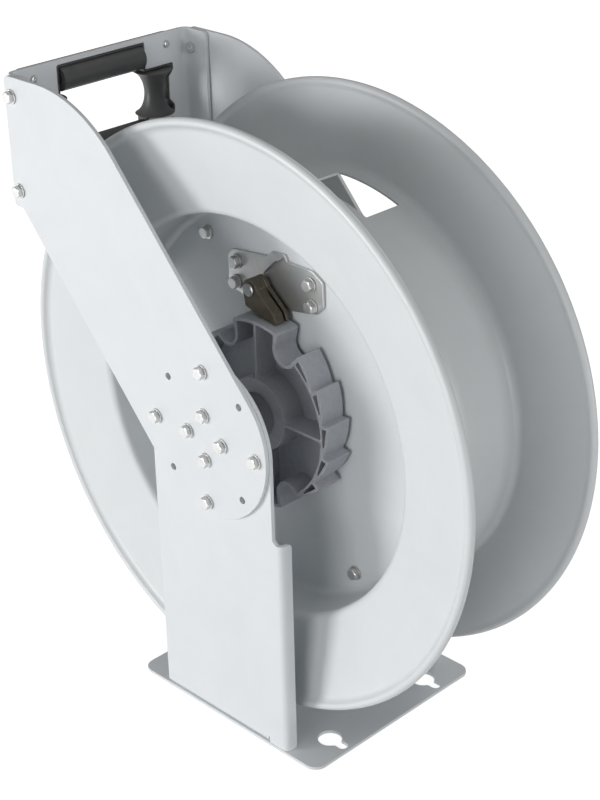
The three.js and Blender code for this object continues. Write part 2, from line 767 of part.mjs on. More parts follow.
function pawlBody() {
  const tipReach = ratchetRadius + pawlTipLift;
  const tipZ = Math.sqrt(tipReach * tipReach - pawlTipX * pawlTipX);
  const outline = [
    [pawlPivotX - 6, ratchetRadius + pawlLift + 6], [0, ratchetRadius + pawlLift],
    [pawlTipX - 3, tipZ - 1.2], [pawlTipX, tipZ], [pawlTipX - 3.5, tipZ + 8],
    ...arc(pawlPivotX, pawlPivotZ, pawlBossRadius, 10, 190, 7),
  ].map(([x, z]) => [x, axisHeight + z]);
  const bore = circle(pawlPivotX, pawlZ, pawlPinRadius + running, pinFacets);
  const block = plateY(outline, pawlNear, pawlNear + pawlWidth, [bore]);
  const slotY = pawlNear + pawlWidth * pawlSlotPlace;
  const slotOutline = [[4, tipZ + 6], [11, tipZ], [24, tipZ + 10], [10, tipZ + 26]];
  const slot = plateY(slotOutline.map(([x, z]) => [x, axisHeight + z]),
    slotY - pawlSlotHalf, slotY + pawlSlotHalf);
  return block.subtract(slot);
}

function pawlPin() {
  const headFar = pawlNear - pawlPinGap;
  const headNear = headFar - pawlPinHeadHeight;
  const end = pawlPlateY - gap;
  const profile = [
    [0, headNear], [pawlPinHead, headNear], [pawlPinHead, headFar],
    [pawlPinRadius, headFar], [pawlPinRadius, end], [0, end],
  ];
  return turned(profile, pinFacets, pawlPivotX, pawlZ);
}

// A flat strip spring from the plate's upper tab to the back of the pawl.
function pawlSpring() {
  const width = 6;
  const strip = 1;
  const far = pawlPlateNear - gap;
  const line = [[22, 29], [16, 25], [9, 18], [4, 12.5]];
  const points = thicken(line, strip).map(fromPivot);
  return plateY(points, far - width, far);
}

// ---------------------------------------------------------------- shaft and hub pieces
function mainShaft() {
  const near = -legInner + gap;
  const flangeFar = near + shaftFlange;
  const far = armOuter + shaftStickOut;
  const body = turned([
    [0, near], [shaftFlangeRadius, near], [shaftFlangeRadius, flangeFar],
    [shaftRadius, flangeFar], [shaftRadius, far], [0, far],
  ], shaftFacets);
  const boltTools = innerBoltPlaces.map(([x, z]) =>
    rod(boltHole, near - overrun, flangeFar + overrun, holeFacets, x, z));
  const waterway = rod(shaftRadius - shaftWall, swivelMiddle - 2 * shaftPort, far + overrun, 16);
  const portTop = axisHeight + shaftRadius + overrun;
  const port = plateY([
    [-shaftPort, axisHeight], [shaftPort, axisHeight], [shaftPort, portTop], [-shaftPort, portTop],
  ], swivelMiddle - shaftPort, swivelMiddle + shaftPort);
  return cut(body, [...boltTools, waterway, port]);
}

function ratchetSpacer() {
  const inner = shaftRadius + gap;
  return tube(inner, inner + spacerWall, -legInner + 2 * gap + shaftFlange, ratchetNear - gap, shaftFacets);
}

function drumHub() {
  const bore = bushRadius + gap;
  const collar = ratchetHub - hubCollarInset;
  return turned([
    [bore, caseFloor - hubCollar], [collar, caseFloor - hubCollar], [collar, caseFloor],
    [hubFlangeRadius, caseFloor], [hubFlangeRadius, caseFloor + hubFlangeSheet],
    [bore, caseFloor + hubFlangeSheet],
  ], shaftFacets);
}

function springCase() {
  const inner = hubFlangeRadius + gap;
  const lip = webBoltRadius + caseLip;
  const floorTop = caseFloor + caseSheet;
  const wall = caseRadius - caseSheet;
  return cut(turned([
    [inner, caseFloor], [lip, caseFloor], [lip, floorTop], [caseRadius, floorTop],
    [caseRadius, coverY], [wall, coverY], [wall, floorTop], [inner, floorTop],
  ], drumFacets), webBoltTools());
}

function springCover() {
  const y = coverY + gap;
  const bore = bushRadius + gap;
  const boss = bore + bushWall;
  const rimInside = caseRadius + sideGap;
  const rimOutside = caseRadius + coverRim;
  return turned([
    [bore, y - hubCollar], [boss, y - hubCollar], [boss, y], [rimInside, y],
    [rimInside, y - coverRimDepth], [rimOutside, y - coverRimDepth], [rimOutside, y + caseSheet],
    [bore, y + caseSheet],
  ], drumFacets);
}

function bush(near) {
  return tube(shaftRadius + running, bushRadius, near, near + bushLength, shaftFacets);
}

function springArbor() {
  const near = caseFloor + arborStart;
  return tube(shaftRadius + gap, shaftRadius + arborReach, near, near + arborLength, shaftFacets);
}

// One open spiral of flat strip, from the arbor out to the case's wall.
function mainspring() {
  const inner = shaftRadius + arborReach + springStrip + sideGap;
  const outer = caseRadius - caseSheet - springMargin;
  const steps = springTurns * springStepsPerTurn;
  const line = [];
  for (let i = 0; i <= steps; i += 1) {
    const share = i / steps;
    line.push(polar(inner + (outer - inner) * share, 360 * springTurns * share));
  }
  const near = caseFloor + springStart;
  return plateY(thicken(line, springStrip), near, near + springWidth);
}

function farHubPlate() {
  const far = legInner - gap;
  const near = far - shaftFlange;
  const boltTools = innerBoltPlaces.map(([x, z]) =>
    rod(boltHole, near - overrun, legOuter, holeFacets, x, z));
  return cut(tube(shaftRadius + gap, shaftFlangeRadius, near, far, shaftFacets), boltTools);
}

function shaftNut() {
  const near = armOuter + gap;
  const far = near + nutHeight;
  const hexagon = circle(0, axisHeight, shaftRadius + nutReach, 6);
  const bore = rod(shaftRadius + gap, near - overrun, far + overrun, shaftFacets);
  return cut(plateY(hexagon, near, far), [bore]);
}

function inletUnion() {
  const near = armOuter + nutHeight + 2 * gap;
  const shaftEnd = armOuter + shaftStickOut;
  const far = shaftEnd + unionLength;
  const outer = shaftRadius + unionReach;
  const seat = shaftRadius + gap;
  return turned([
    [seat, near], [outer, near], [outer, far], [unionBore, far], [unionBore, shaftEnd + unionStep],
    [seat, shaftEnd + unionStep],
  ], shaftFacets);
}

// ---------------------------------------------------------------- swivel and outlet
// The body has an end ring, a seal groove and an inner ring at each end, round a water chamber.
function swivelBody() {
  const near = swivelNear;
  const far = near + swivelLength;
  const bore = shaftRadius + running;
  const seat = shaftRadius + swivelSeat;
  const chamber = bore + swivelChamber;
  const outer = shaftRadius + swivelReach;
  const body = turned([
    [bore, near], [outer, near], [outer, far], [bore, far],
    [bore, far - swivelLand], [seat, far - swivelLand],
    [seat, far - 2 * swivelLand], [chamber, far - 2 * swivelLand],
    [chamber, near + 2 * swivelLand], [seat, near + 2 * swivelLand],
    [seat, near + swivelLand], [bore, near + swivelLand],
  ], shaftFacets);
  const port = plateY([
    [-outer - overrun, axisHeight - swivelPort], [-shaftRadius, axisHeight - swivelPort],
    [-shaftRadius, axisHeight + swivelPort], [-outer - overrun, axisHeight + swivelPort],
  ], swivelMiddle - swivelPort, swivelMiddle + swivelPort);
  return body.subtract(port);
}

function swivelSeal(grooveNear) {
  const outer = shaftRadius + swivelSeat - sealPlay;
  const near = grooveNear + sealPlay;
  return tube(shaftRadius + running, outer, near, near + swivelLand - 2 * sealPlay, shaftFacets);
}

// The outlet leaves the swivel towards -X and bends up to a plain tail for the hose.
function outletElbow() {
  const at = (x, z) => new THREE.Vector3(x, swivelMiddle, z);
  const start = -shaftRadius - swivelReach - gap;
  const bendStart = start - outletRun;
  const tailX = bendStart - outletBend;
  const tailZ = axisHeight + outletBend;
  const route = new THREE.CurvePath();
  route.add(new THREE.LineCurve3(at(start, axisHeight), at(bendStart, axisHeight)));
  const corner = at(tailX, axisHeight);
  route.add(new THREE.QuadraticBezierCurve3(at(bendStart, axisHeight), corner, at(tailX, tailZ)));
  route.add(new THREE.LineCurve3(at(tailX, tailZ), at(tailX, tailZ + outletTail)));
  const options = { steps: 10, extrudePath: route, bevelEnabled: false };
  const pipe = (radius) =>
    toSolid(new THREE.ExtrudeGeometry(shapeOf(circle(0, 0, radius, holeFacets)), options));
  return pipe(hoseTube).subtract(pipe(hoseTube - hoseTubeWall));
}

// ---------------------------------------------------------------- screws
// Head and washer on the outer side, shank inwards; out is -1 on the near side, 1 on the far.
function screw(x, z, seat, length, out) {
  const washerTop = length + washerHeight;
  const headTop = washerTop + screwHeadHeight;
  const profile = [
    [0, 0], [screwRadius, 0], [screwRadius, length], [washerRadius, length],
    [washerRadius, washerTop], [screwHead, washerTop], [screwHead, headTop], [0, headTop],
  ];
  const placed = profile.map(([radius, along]) => [radius, seat + out * (gap + along - length)]);
  return turned(placed, screwFacets, x, z);
}

// ---------------------------------------------------------------- assembly
function addFrame() {
  addNode('base_plate', basePlate(), paint());
  addNode('near_leg', leg(-1, 0), paint());
  addNode('far_leg', leg(1, shaftHole), paint());
  addNode('near_arm', arm(-1, 0), paint());
  addNode('far_arm', arm(1, shaftHole), paint());
  addNode('guide_plate', guidePlate(), paint());
  addNode('roller_carrier', rollerCarrier(), blackPlastic());
}

function addRollers() {
  for (const span of axleSpans()) {
    const roller = span.upright
      ? turnedUpright(waistedProfile(), rollerFacets, rollerX, span.offset, windowZ)
      : turned(barrelProfile(), rollerFacets, rollerX, windowZ + span.offset);
    addNode(`${span.name}_roller`, roller, blackPlastic());
    addNode(`${span.name}_roller_axle`, axleRod(span, axleRadius, span.half), steel());
  }
}

function addShaftGroup() {
  addNode('main_shaft', mainShaft(), steel());
  addNode('ratchet_wheel', ratchetWheel(), greyPlastic());
  addNode('ratchet_spacer', ratchetSpacer(), steel());
  addNode('spring_arbor', springArbor(), steel());
  addNode('far_hub_plate', farHubPlate(), steel());
  addNode('shaft_nut', shaftNut(), zinc());
  addNode('inlet_union', inletUnion(), brass());
}

function addDrum() {
  addNode('near_shell', nearShell(), paint());
  addNode('far_shell', farShell(), paint());
  addNode('drum_hub', drumHub(), zinc());
  addNode('near_bush', bush(caseFloor + hubFlangeSheet - bushLength), bronze());
  addNode('spring_case', springCase(), zinc());
  addNode('mainspring', mainspring(), steel());
  addNode('spring_cover', springCover(), zinc());
  addNode('far_bush', bush(coverY + caseSheet - bushLength), bronze());
  addNode('swivel_body', swivelBody(), brass());
  addNode('swivel_seal_near', swivelSeal(swivelNear + swivelLand), rubber());
  addNode('swivel_seal_far', swivelSeal(swivelNear + swivelLength - 2 * swivelLand), rubber());
  addNode('outlet_elbow', outletElbow(), brass());
}

function addPawlGroup() {
  addNode('pawl_plate', pawlPlate(), zinc());
  addNode('pawl_pin', pawlPin(), steel());
  addNode('pawl', pawlBody(), bronze());
  addNode('pawl_spring', pawlSpring(), steel());
}

function addScrews() {
  const clamp = 2 * plateSheet + gap;
  const throughShells = 2 * (shellSheet + gap) + caseSheet + plateSheet;
  const spots = ['top', 'front', 'bottom', 'rear'];
  outerBoltPlaces.forEach(([x, z], i) => {
    addNode(`near_hub_screw_${spots[i]}`, screw(x, z, -armOuter, clamp + nutThread, -1), zinc());
    addNode(`far_hub_screw_${spots[i]}`, screw(x, z, armOuter, clamp + nutThread, 1), zinc());
  });
  innerBoltPlaces.forEach(([x, z], i) => {
    addNode(`shaft_screw_${spots[i]}`, screw(x, z, -armOuter, clamp + shaftFlange, -1), zinc());
  });
  guideBoltPlaces.forEach(([x, z], i) => {
    const level = ['upper', 'lower'][i];
    addNode(`near_guide_screw_${level}`, screw(x, z, -armOuter, clamp + nutThread, -1), zinc());
    addNode(`far_guide_screw_${level}`, screw(x, z, armOuter, clamp + nutThread, 1), zinc());
  });
  webBoltPlaces.forEach(([x, z], i) => {
    addNode(`web_screw_${['front', 'rear'][i]}`, screw(x, z, webY, throughShells, -1), zinc());
  });
  pawlBoltPlaces().forEach(([x, z], i) => {
    addNode(`pawl_plate_screw_${i + 1}`, screw(x, z, pawlPlateNear, throughShells, -1), zinc());
  });
}

addFrame();
addRollers();
addShaftGroup();
addDrum();
addPawlGroup();
addScrews();

export default reel;
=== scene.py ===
# %% [markdown]
# # A spring-rewind fire hose reel
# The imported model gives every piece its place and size. This script gives each piece a fine surface
# and a finish. Almost everything on the reel is made in one of three ways: turned or spun about an
# axis, cut from flat sheet and bent, or moulded as an open box. So there is a shape helper for each
# way, and each piece calls one of them with its own outline.

# %% Load the frame
import json
import math

import bmesh
import bpy
import numpy as np
from mathutils import Matrix, Vector
from mathutils.geometry import delaunay_2d_cdt


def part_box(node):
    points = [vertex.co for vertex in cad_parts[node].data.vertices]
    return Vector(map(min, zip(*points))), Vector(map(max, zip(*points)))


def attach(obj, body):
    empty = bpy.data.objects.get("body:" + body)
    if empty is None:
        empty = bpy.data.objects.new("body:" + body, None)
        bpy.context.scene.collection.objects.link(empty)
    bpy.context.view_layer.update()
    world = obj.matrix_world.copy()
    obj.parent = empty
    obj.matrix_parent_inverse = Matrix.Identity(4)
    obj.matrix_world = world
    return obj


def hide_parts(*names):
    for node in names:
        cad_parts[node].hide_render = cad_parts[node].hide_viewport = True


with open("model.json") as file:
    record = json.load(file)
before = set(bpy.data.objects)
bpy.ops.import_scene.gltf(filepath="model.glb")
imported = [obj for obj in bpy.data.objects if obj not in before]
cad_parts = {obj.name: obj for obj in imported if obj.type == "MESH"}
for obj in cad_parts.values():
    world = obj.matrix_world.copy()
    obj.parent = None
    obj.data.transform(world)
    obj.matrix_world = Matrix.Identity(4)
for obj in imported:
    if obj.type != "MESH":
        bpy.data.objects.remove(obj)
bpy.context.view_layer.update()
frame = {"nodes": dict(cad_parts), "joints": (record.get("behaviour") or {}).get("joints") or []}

joints = {joint["name"]: joint for joint in frame["joints"]}
axis_height = 1000 * joints["drum_spin"]["pos_m"][2]      # millimetres, as in all outlines below

# %% [markdown]
# ## Camera, floor and light
# The reel is seen from its ratchet side, from above and to the right of the legs. The camera is set
# by an azimuth, an elevation and a small roll, which makes it easy to turn it by hand. Two
# soft lights stand low on the ratchet side, one to each side of the reel's middle, so faces that
# look that way come out nearly white. The pale surround and three weak lights keep the others a
# calm grey. The floor glows until it is evenly white, and diffuse light leaves it out, because the
# glow would light the reel from below.

# %% Camera
azimuth = math.radians(45.69)
elevation = math.radians(26.53)
roll = math.radians(-1.37)
camera_place = Vector((1.0163, -0.9878, 0.9973))
field_of_view = math.radians(25.45)      # from the top of the picture to its bottom


def camera_turn(azimuth, elevation, roll):
    """The camera's own axes as a matrix. Its back points away from the reel, and roll turns it
    about that line."""
    back = Vector((math.sin(azimuth) * math.cos(elevation),
                   -math.cos(azimuth) * math.cos(elevation), math.sin(elevation)))
    right = Vector((0, 0, 1)).cross(back).normalized()
    up = back.cross(right)
    rolled_right = math.cos(roll) * right + math.sin(roll) * up
    rolled_up = math.cos(roll) * up - math.sin(roll) * right
    return Matrix((rolled_right, rolled_up, back)).transposed()


lens_data = bpy.data.cameras.new("camera")
lens_data.sensor_fit = "VERTICAL"
lens_data.angle = field_of_view
lens_data.clip_end = 50
camera = bpy.data.objects.new("camera", lens_data)
turned_camera = camera_turn(azimuth, elevation, roll).to_4x4()
camera.matrix_world = Matrix.Translation(camera_place) @ turned_camera
bpy.context.scene.collection.objects.link(camera)
bpy.context.scene.camera = camera
bpy.context.scene.view_settings.view_transform = "Standard"
print("camera at", [round(value, 3) for value in camera_place])


# %% Floor and light
def node_material(name):
    """A new material with nodes: the material, its Principled shader and its node tree."""
    material = bpy.data.materials.new(name)
    material.use_nodes = True
    tree = material.node_tree
    return material, tree.nodes["Principled BSDF"], tree


floor_half = 12.0
floor_mesh = bpy.data.meshes.new("floor")
floor_mesh.from_pydata(
    [(-floor_half, -floor_half, 0), (floor_half, -floor_half, 0),
     (floor_half, floor_half, 0), (-floor_half, floor_half, 0)], [], [(0, 1, 2, 3)])
floor = bpy.data.objects.new("floor", floor_mesh)
floor.location.z = -0.0005
bpy.context.scene.collection.objects.link(floor)
floor_material, floor_shader, _ = node_material("floor_pale")
floor_shader.inputs["Base Color"].default_value = (0.9, 0.9, 0.9, 1)
floor_shader.inputs["Roughness"].default_value = 0.9
floor_shader.inputs["Specular IOR Level"].default_value = 0.1
floor_shader.inputs["Emission Color"].default_value = (1, 1, 1, 1)
floor_shader.inputs["Emission Strength"].default_value = 0.75
floor_mesh.materials.append(floor_material)
floor.visible_diffuse = False

world = bpy.data.worlds.new("surround")
bpy.context.scene.world = world
world.use_nodes = True
world.node_tree.nodes["Background"].inputs["Color"].default_value = (1, 1, 1, 1)
world.node_tree.nodes["Background"].inputs["Strength"].default_value = 0.20


def soft_light(name, place, aim, width, power):
    """A square area light at place that shines at aim."""
    data = bpy.data.lights.new(name, "AREA")
    data.shape = "SQUARE"
    data.size = width
    data.energy = power
    light = bpy.data.objects.new(name, data)
    light.location = place
    light.rotation_euler = (Vector(aim) - Vector(place)).to_track_quat("-Z", "Y").to_euler()
    bpy.context.scene.collection.objects.link(light)
    return light


reel_middle = (0, 0, axis_height / 1000)
soft_light("key", (-1.5, -2.9, 0.55), reel_middle, 1.2, 58)
soft_light("front", (0.8, -3.2, 0.45), reel_middle, 1.8, 40)
soft_light("top", (0.5, -0.4, 3.0), reel_middle, 2.4, 6)
soft_light("side", (3.0, 0.4, 0.5), reel_middle, 1.4, 26)
soft_light("behind", (-0.6, 3.0, 1.6), reel_middle, 2.4, 24)

# %% [markdown]
# ## Finishes
# Every finish shares three small effects, so each effect is a node group that is built once. One
# gives a fine grain for the bump and slow patches for the roughness. One finds the edges, where a
# hand or a hose rubs the coating. One lets dust settle where a face looks up. Each material then
# mixes them with its own numbers, and the shader itself stays in the material.


# %% Node helpers
def new_group(name, inputs, outputs):
    """An empty shader node group with its sockets. Gives the group and its two end nodes."""
    group = bpy.data.node_groups.new(name, "ShaderNodeTree")
    for label, kind, value in inputs:
        socket = group.interface.new_socket(label, in_out="INPUT", socket_type=kind)
        if value is not None:
            socket.default_value = value
    for label, kind in outputs:
        group.interface.new_socket(label, in_out="OUTPUT", socket_type=kind)
    return group, group.nodes.new("NodeGroupInput"), group.nodes.new("NodeGroupOutput")


def add_node(tree, kind, inputs=(), **settings):
    """A node with its settings and inputs. An input is a value, or another node's socket."""
    node = tree.nodes.new(kind)
    for key, value in settings.items():
        setattr(node, key, value)
    for key, value in dict(inputs).items():
        if isinstance(value, bpy.types.NodeSocket):
            tree.links.new(value, node.inputs[key])
        else:
            node.inputs[key].default_value = value
    return node


def arithmetic(tree, operation, first, second=0.0, clamp=False):
    """One Math node. Gives its output socket."""
    node = add_node(tree, "ShaderNodeMath", {0: first, 1: second}, operation=operation, use_clamp=clamp)
    return node.outputs[0]


# %% Grain
grain_group, ends_in, ends_out = new_group(
    "fine_grain",
    [("Place", "NodeSocketVector", None), ("Grain", "NodeSocketFloat", 900.0),
     ("Patch", "NodeSocketFloat", 14.0)],
    [("Height", "NodeSocketFloat"), ("Patches", "NodeSocketFloat")])
fine = add_node(grain_group, "ShaderNodeTexNoise",
                {"Vector": ends_in.outputs["Place"], "Scale": ends_in.outputs["Grain"],
                 "Detail": 2.0, "Roughness": 0.55})
coarse = add_node(grain_group, "ShaderNodeTexNoise",
                  {"Vector": ends_in.outputs["Place"], "Scale": ends_in.outputs["Patch"],
                   "Detail": 4.0, "Roughness": 0.6, "Distortion": 0.6})
grain_group.links.new(fine.outputs["Fac"], ends_out.inputs["Height"])
grain_group.links.new(coarse.outputs["Fac"], ends_out.inputs["Patches"])
print("group", grain_group.name, [item.name for item in grain_group.interface.items_tree])

# %% Rubbed edges
# A Bevel node looks at the surface a small distance around. Where its normal and the true normal
# differ, there is an edge. A noise breaks the line up, because a coating wears unevenly.
edge_group, ends_in, ends_out = new_group(
    "rubbed_edges",
    [("Place", "NodeSocketVector", None), ("Reach", "NodeSocketFloat", 0.0012),
     ("Wear", "NodeSocketFloat", 0.5)],
    [("Mask", "NodeSocketFloat")])
bevel = add_node(edge_group, "ShaderNodeBevel", {"Radius": ends_in.outputs["Reach"]}, samples=4)
geometry = add_node(edge_group, "ShaderNodeNewGeometry")
alike = add_node(edge_group, "ShaderNodeVectorMath",
                 {0: bevel.outputs["Normal"], 1: geometry.outputs["Normal"]}, operation="DOT_PRODUCT")
differs = arithmetic(edge_group, "SUBTRACT", 1.0, alike.outputs["Value"])
scratch = add_node(edge_group, "ShaderNodeTexNoise",
                   {"Vector": ends_in.outputs["Place"], "Scale": 160.0, "Detail": 3.0})
broken = arithmetic(edge_group, "MULTIPLY", scratch.outputs["Fac"], ends_in.outputs["Wear"])
strong = arithmetic(edge_group, "MULTIPLY", differs, 9.0)
edge_group.links.new(arithmetic(edge_group, "MULTIPLY", strong, broken, clamp=True),
                     ends_out.inputs["Mask"])
print("group", edge_group.name)

# %% Settled dust
dust_group, ends_in, ends_out = new_group(
    "settled_dust",
    [("Place", "NodeSocketVector", None), ("Amount", "NodeSocketFloat", 0.3)],
    [("Mask", "NodeSocketFloat")])
geometry = add_node(dust_group, "ShaderNodeNewGeometry")
parts = add_node(dust_group, "ShaderNodeSeparateXYZ", {"Vector": geometry.outputs["Normal"]})
looks_up = arithmetic(dust_group, "MULTIPLY", parts.outputs["Z"], 1.4, clamp=True)
cloud = add_node(dust_group, "ShaderNodeTexNoise",
                 {"Vector": ends_in.outputs["Place"], "Scale": 45.0, "Detail": 5.0})
uneven = arithmetic(dust_group, "MULTIPLY", cloud.outputs["Fac"], ends_in.outputs["Amount"])
dust_group.links.new(arithmetic(dust_group, "MULTIPLY", looks_up, uneven, clamp=True),
                     ends_out.inputs["Mask"])
print("group", dust_group.name)


# %% Build one finish
def make_finish(name, colour, patch_colour, edge_colour, roughness, metallic=0.0, grain=900.0,
                bump=0.03, patch=14.0, wear=0.5, dust=0.2, coat=0.0, ringed=0.0):
    """A finish from the shared effects. The patches mix the two colours and shift the roughness,
    the edge mask brings in the edge colour, and the grain feeds the bump. A turned metal also has
    fine rings: a wave across its axis."""
    material, shader, tree = node_material(name)
    place = add_node(tree, "ShaderNodeTexCoord").outputs["Object"]
    grains = add_node(tree, "ShaderNodeGroup", node_tree=grain_group)
    edges = add_node(tree, "ShaderNodeGroup", node_tree=edge_group)
    dusts = add_node(tree, "ShaderNodeGroup", node_tree=dust_group)
    for node, values in ((grains, {"Grain": grain, "Patch": patch}), (edges, {"Wear": wear}),
                         (dusts, {"Amount": dust})):
        tree.links.new(place, node.inputs["Place"])
        for label, value in values.items():
            node.inputs[label].default_value = value
    spread = add_node(tree, "ShaderNodeMapRange",
                      {"Value": grains.outputs["Patches"], "From Min": 0.3, "From Max": 0.7})
    patches = spread.outputs["Result"]
    steps = ((patches, colour, patch_colour), (edges.outputs["Mask"], None, edge_colour),
             (dusts.outputs["Mask"], None, (0.55, 0.53, 0.5)))
    current = None
    for mask, first, second in steps:
        mix = add_node(tree, "ShaderNodeMix", {"Factor": mask}, data_type="RGBA")
        if current is None:
            mix.inputs[6].default_value = (*first, 1)
        else:
            tree.links.new(current, mix.inputs[6])
        mix.inputs[7].default_value = (*second, 1)
        current = mix.outputs[2]
    tree.links.new(current, shader.inputs["Base Color"])
    shift = arithmetic(tree, "MULTIPLY", patches, 0.1)
    base = arithmetic(tree, "ADD", shift, roughness - 0.05)
    dusty = arithmetic(tree, "MULTIPLY", dusts.outputs["Mask"], 0.35)
    tree.links.new(arithmetic(tree, "ADD", base, dusty, clamp=True), shader.inputs["Roughness"])
    height = grains.outputs["Height"]
    if ringed:
        wave = add_node(tree, "ShaderNodeTexWave",
                        {"Vector": place, "Scale": ringed, "Distortion": 0.4, "Detail": 1.0},
                        wave_type="BANDS", bands_direction="Y")
        height = arithmetic(tree, "ADD", height, wave.outputs["Fac"])
    bumps = add_node(tree, "ShaderNodeBump",
                     {"Strength": 1.0, "Distance": bump / 1000, "Height": height})
    tree.links.new(bumps.outputs["Normal"], shader.inputs["Normal"])
    shader.inputs["Metallic"].default_value = metallic
    shader.inputs["Coat Weight"].default_value = coat
    shader.inputs["Coat Roughness"].default_value = 0.25
    finishes[name] = material
    return material


finishes = {}

# %% [markdown]
# ## The paint, the plastics and the metals
# The sheet-metal pieces have a nearly white powder coat, which sets with a very fine orange peel.
# The drum has the same coat in a slightly greyer batch. The rollers are black acetal, and the
# ratchet wheel is glass-filled nylon, so it looks grainy. The fasteners are zinc plated, which is
# pale with faint yellow patches. The pawl is a casting with a brown conversion coat.

# %% Coats and plastics
make_finish("frame_paint", (0.775, 0.805, 0.825), (0.740, 0.770, 0.790), (0.86, 0.86, 0.86), 0.42,
            grain=520, bump=0.028, wear=0.35, dust=0.1, coat=0.15)
make_finish("drum_paint", (0.750, 0.780, 0.795), (0.715, 0.745, 0.760), (0.85, 0.85, 0.85), 0.40,
            grain=460, bump=0.028, wear=0.3, dust=0.12, coat=0.2)
make_finish("black_plastic", (0.060, 0.061, 0.062), (0.074, 0.075, 0.075), (0.10, 0.10, 0.10), 0.46,
            grain=1300, bump=0.03, wear=0.5, dust=0.12)
make_finish("grey_plastic", (0.42, 0.43, 0.465), (0.48, 0.49, 0.525), (0.58, 0.58, 0.60), 0.55,
            grain=900, bump=0.07, patch=240, wear=0.5, dust=0.05)
make_finish("seal_rubber", (0.012, 0.012, 0.012), (0.022, 0.022, 0.022), (0.05, 0.05, 0.05), 0.7,
            grain=1500, bump=0.03, wear=0.2, dust=0.1)

# %% Metals
make_finish("bright_steel", (0.52, 0.52, 0.53), (0.44, 0.44, 0.45), (0.68, 0.68, 0.68), 0.30,
            metallic=1.0, grain=1400, bump=0.01, wear=0.4, dust=0.05, ringed=260)
make_finish("zinc_plate", (0.66, 0.67, 0.68), (0.60, 0.60, 0.57), (0.80, 0.80, 0.80), 0.34,
            metallic=0.85, grain=1100, bump=0.012, patch=60, wear=0.5, dust=0.05)
make_finish("bronze", (0.42, 0.30, 0.16), (0.34, 0.25, 0.15), (0.60, 0.46, 0.26), 0.36,
            metallic=1.0, grain=1400, bump=0.012, wear=0.4, dust=0.05, ringed=300)
make_finish("brass", (0.62, 0.47, 0.20), (0.52, 0.38, 0.17), (0.78, 0.64, 0.34), 0.28,
            metallic=1.0, grain=1200, bump=0.012, wear=0.4, dust=0.05, ringed=220)
make_finish("pawl_cast", (0.085, 0.072, 0.052), (0.13, 0.11, 0.08), (0.40, 0.36, 0.29), 0.48,
            metallic=0.5, grain=700, bump=0.06, patch=150, wear=0.9, dust=0.05)
print("finishes", sorted(finishes))

# %% [markdown]
# ## From arrays to a mesh
# Every surface below is worked out as whole arrays of points, in millimetres. A shell is a pair: its
# points, and its faces as rows of point numbers. One helper numbers the quads of a grid, and one
# makes the Blender object from its shells. That one also turns the faces outwards and marks the
# sharp edges, so a piece looks right whichever way round its outline was walked.


# %% Grids and pieces
def grid_faces(rows, columns, close_rows=False, close_columns=True):
    """The quads of a grid of points that is numbered row by row. A closed direction joins its last
    line to its first."""
    row = np.arange(rows if close_rows else rows - 1)[:, None]
    column = np.arange(columns if close_columns else columns - 1)[None, :]
    next_row = (row + 1) % rows
    next_column = (column + 1) % columns
    corners = [row * columns + column, row * columns + next_column,
               next_row * columns + next_column, next_row * columns + column]
    return np.stack(np.broadcast_arrays(*corners), -1).reshape(-1, 4)


def make_piece(name, shells, body, finish, extra=False, sharp=32):
    """One object from closed shells. It rides on a body, takes a finish, and stands for the CAD
    node of its own name, unless extra says that it is an added piece."""
    points = np.concatenate([shell[0] for shell in shells]) / 1000
    starts = np.cumsum([0] + [len(shell[0]) for shell in shells])
    faces = [face for shell, start in zip(shells, starts)
             for face_set in shell[1] for face in (face_set + start).tolist()]
    mesh = bpy.data.meshes.new(name)
    mesh.from_pydata(points.tolist(), [], faces)
    work = bmesh.new()
    work.from_mesh(mesh)
    bmesh.ops.recalc_face_normals(work, faces=work.faces)
    loose = sum(not edge.is_manifold for edge in work.edges)
    work.to_mesh(mesh)
    work.free()
    mesh.shade_smooth()
    mesh.set_sharp_from_angle(angle=math.radians(sharp))
    mesh.materials.append(finishes[finish])
    piece = bpy.data.objects.new(name + "_made", mesh)
    bpy.context.scene.collection.objects.link(piece)
    weigh = piece.modifiers.new("flat faces stay flat", "WEIGHTED_NORMAL")
    weigh.keep_sharp = True
    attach(piece, body)
    if not extra:
        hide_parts(name)
    print(f"{name}: {len(mesh.polygons)} faces, {loose} open edges")
    return piece


# %% [markdown]
# ## Rounded outlines
# Real edges are never sharp, so an outline is given by its corners and a radius for each, and every
# corner becomes an arc. The arc touches both sides at the same distance from the corner, which is
# the radius over the tangent of half the corner's angle.


# %% Outlines
def arc(u, v, radius, start, end, steps):
    """Points on a circle, from one angle to another in degrees."""
    angle = np.radians(np.linspace(start, end, steps + 1))
    return np.stack([u + radius * np.cos(angle), v + radius * np.sin(angle)], -1)


def circle(u, v, radius, steps=32):
    """A closed round outline, without its first point repeated."""
    return arc(u, v, radius, 0, 360, steps)[:-1]


def unit(vectors):
    """Each vector at a length of one."""
    return vectors / np.maximum(np.linalg.norm(vectors, axis=-1, keepdims=True), 1e-12)


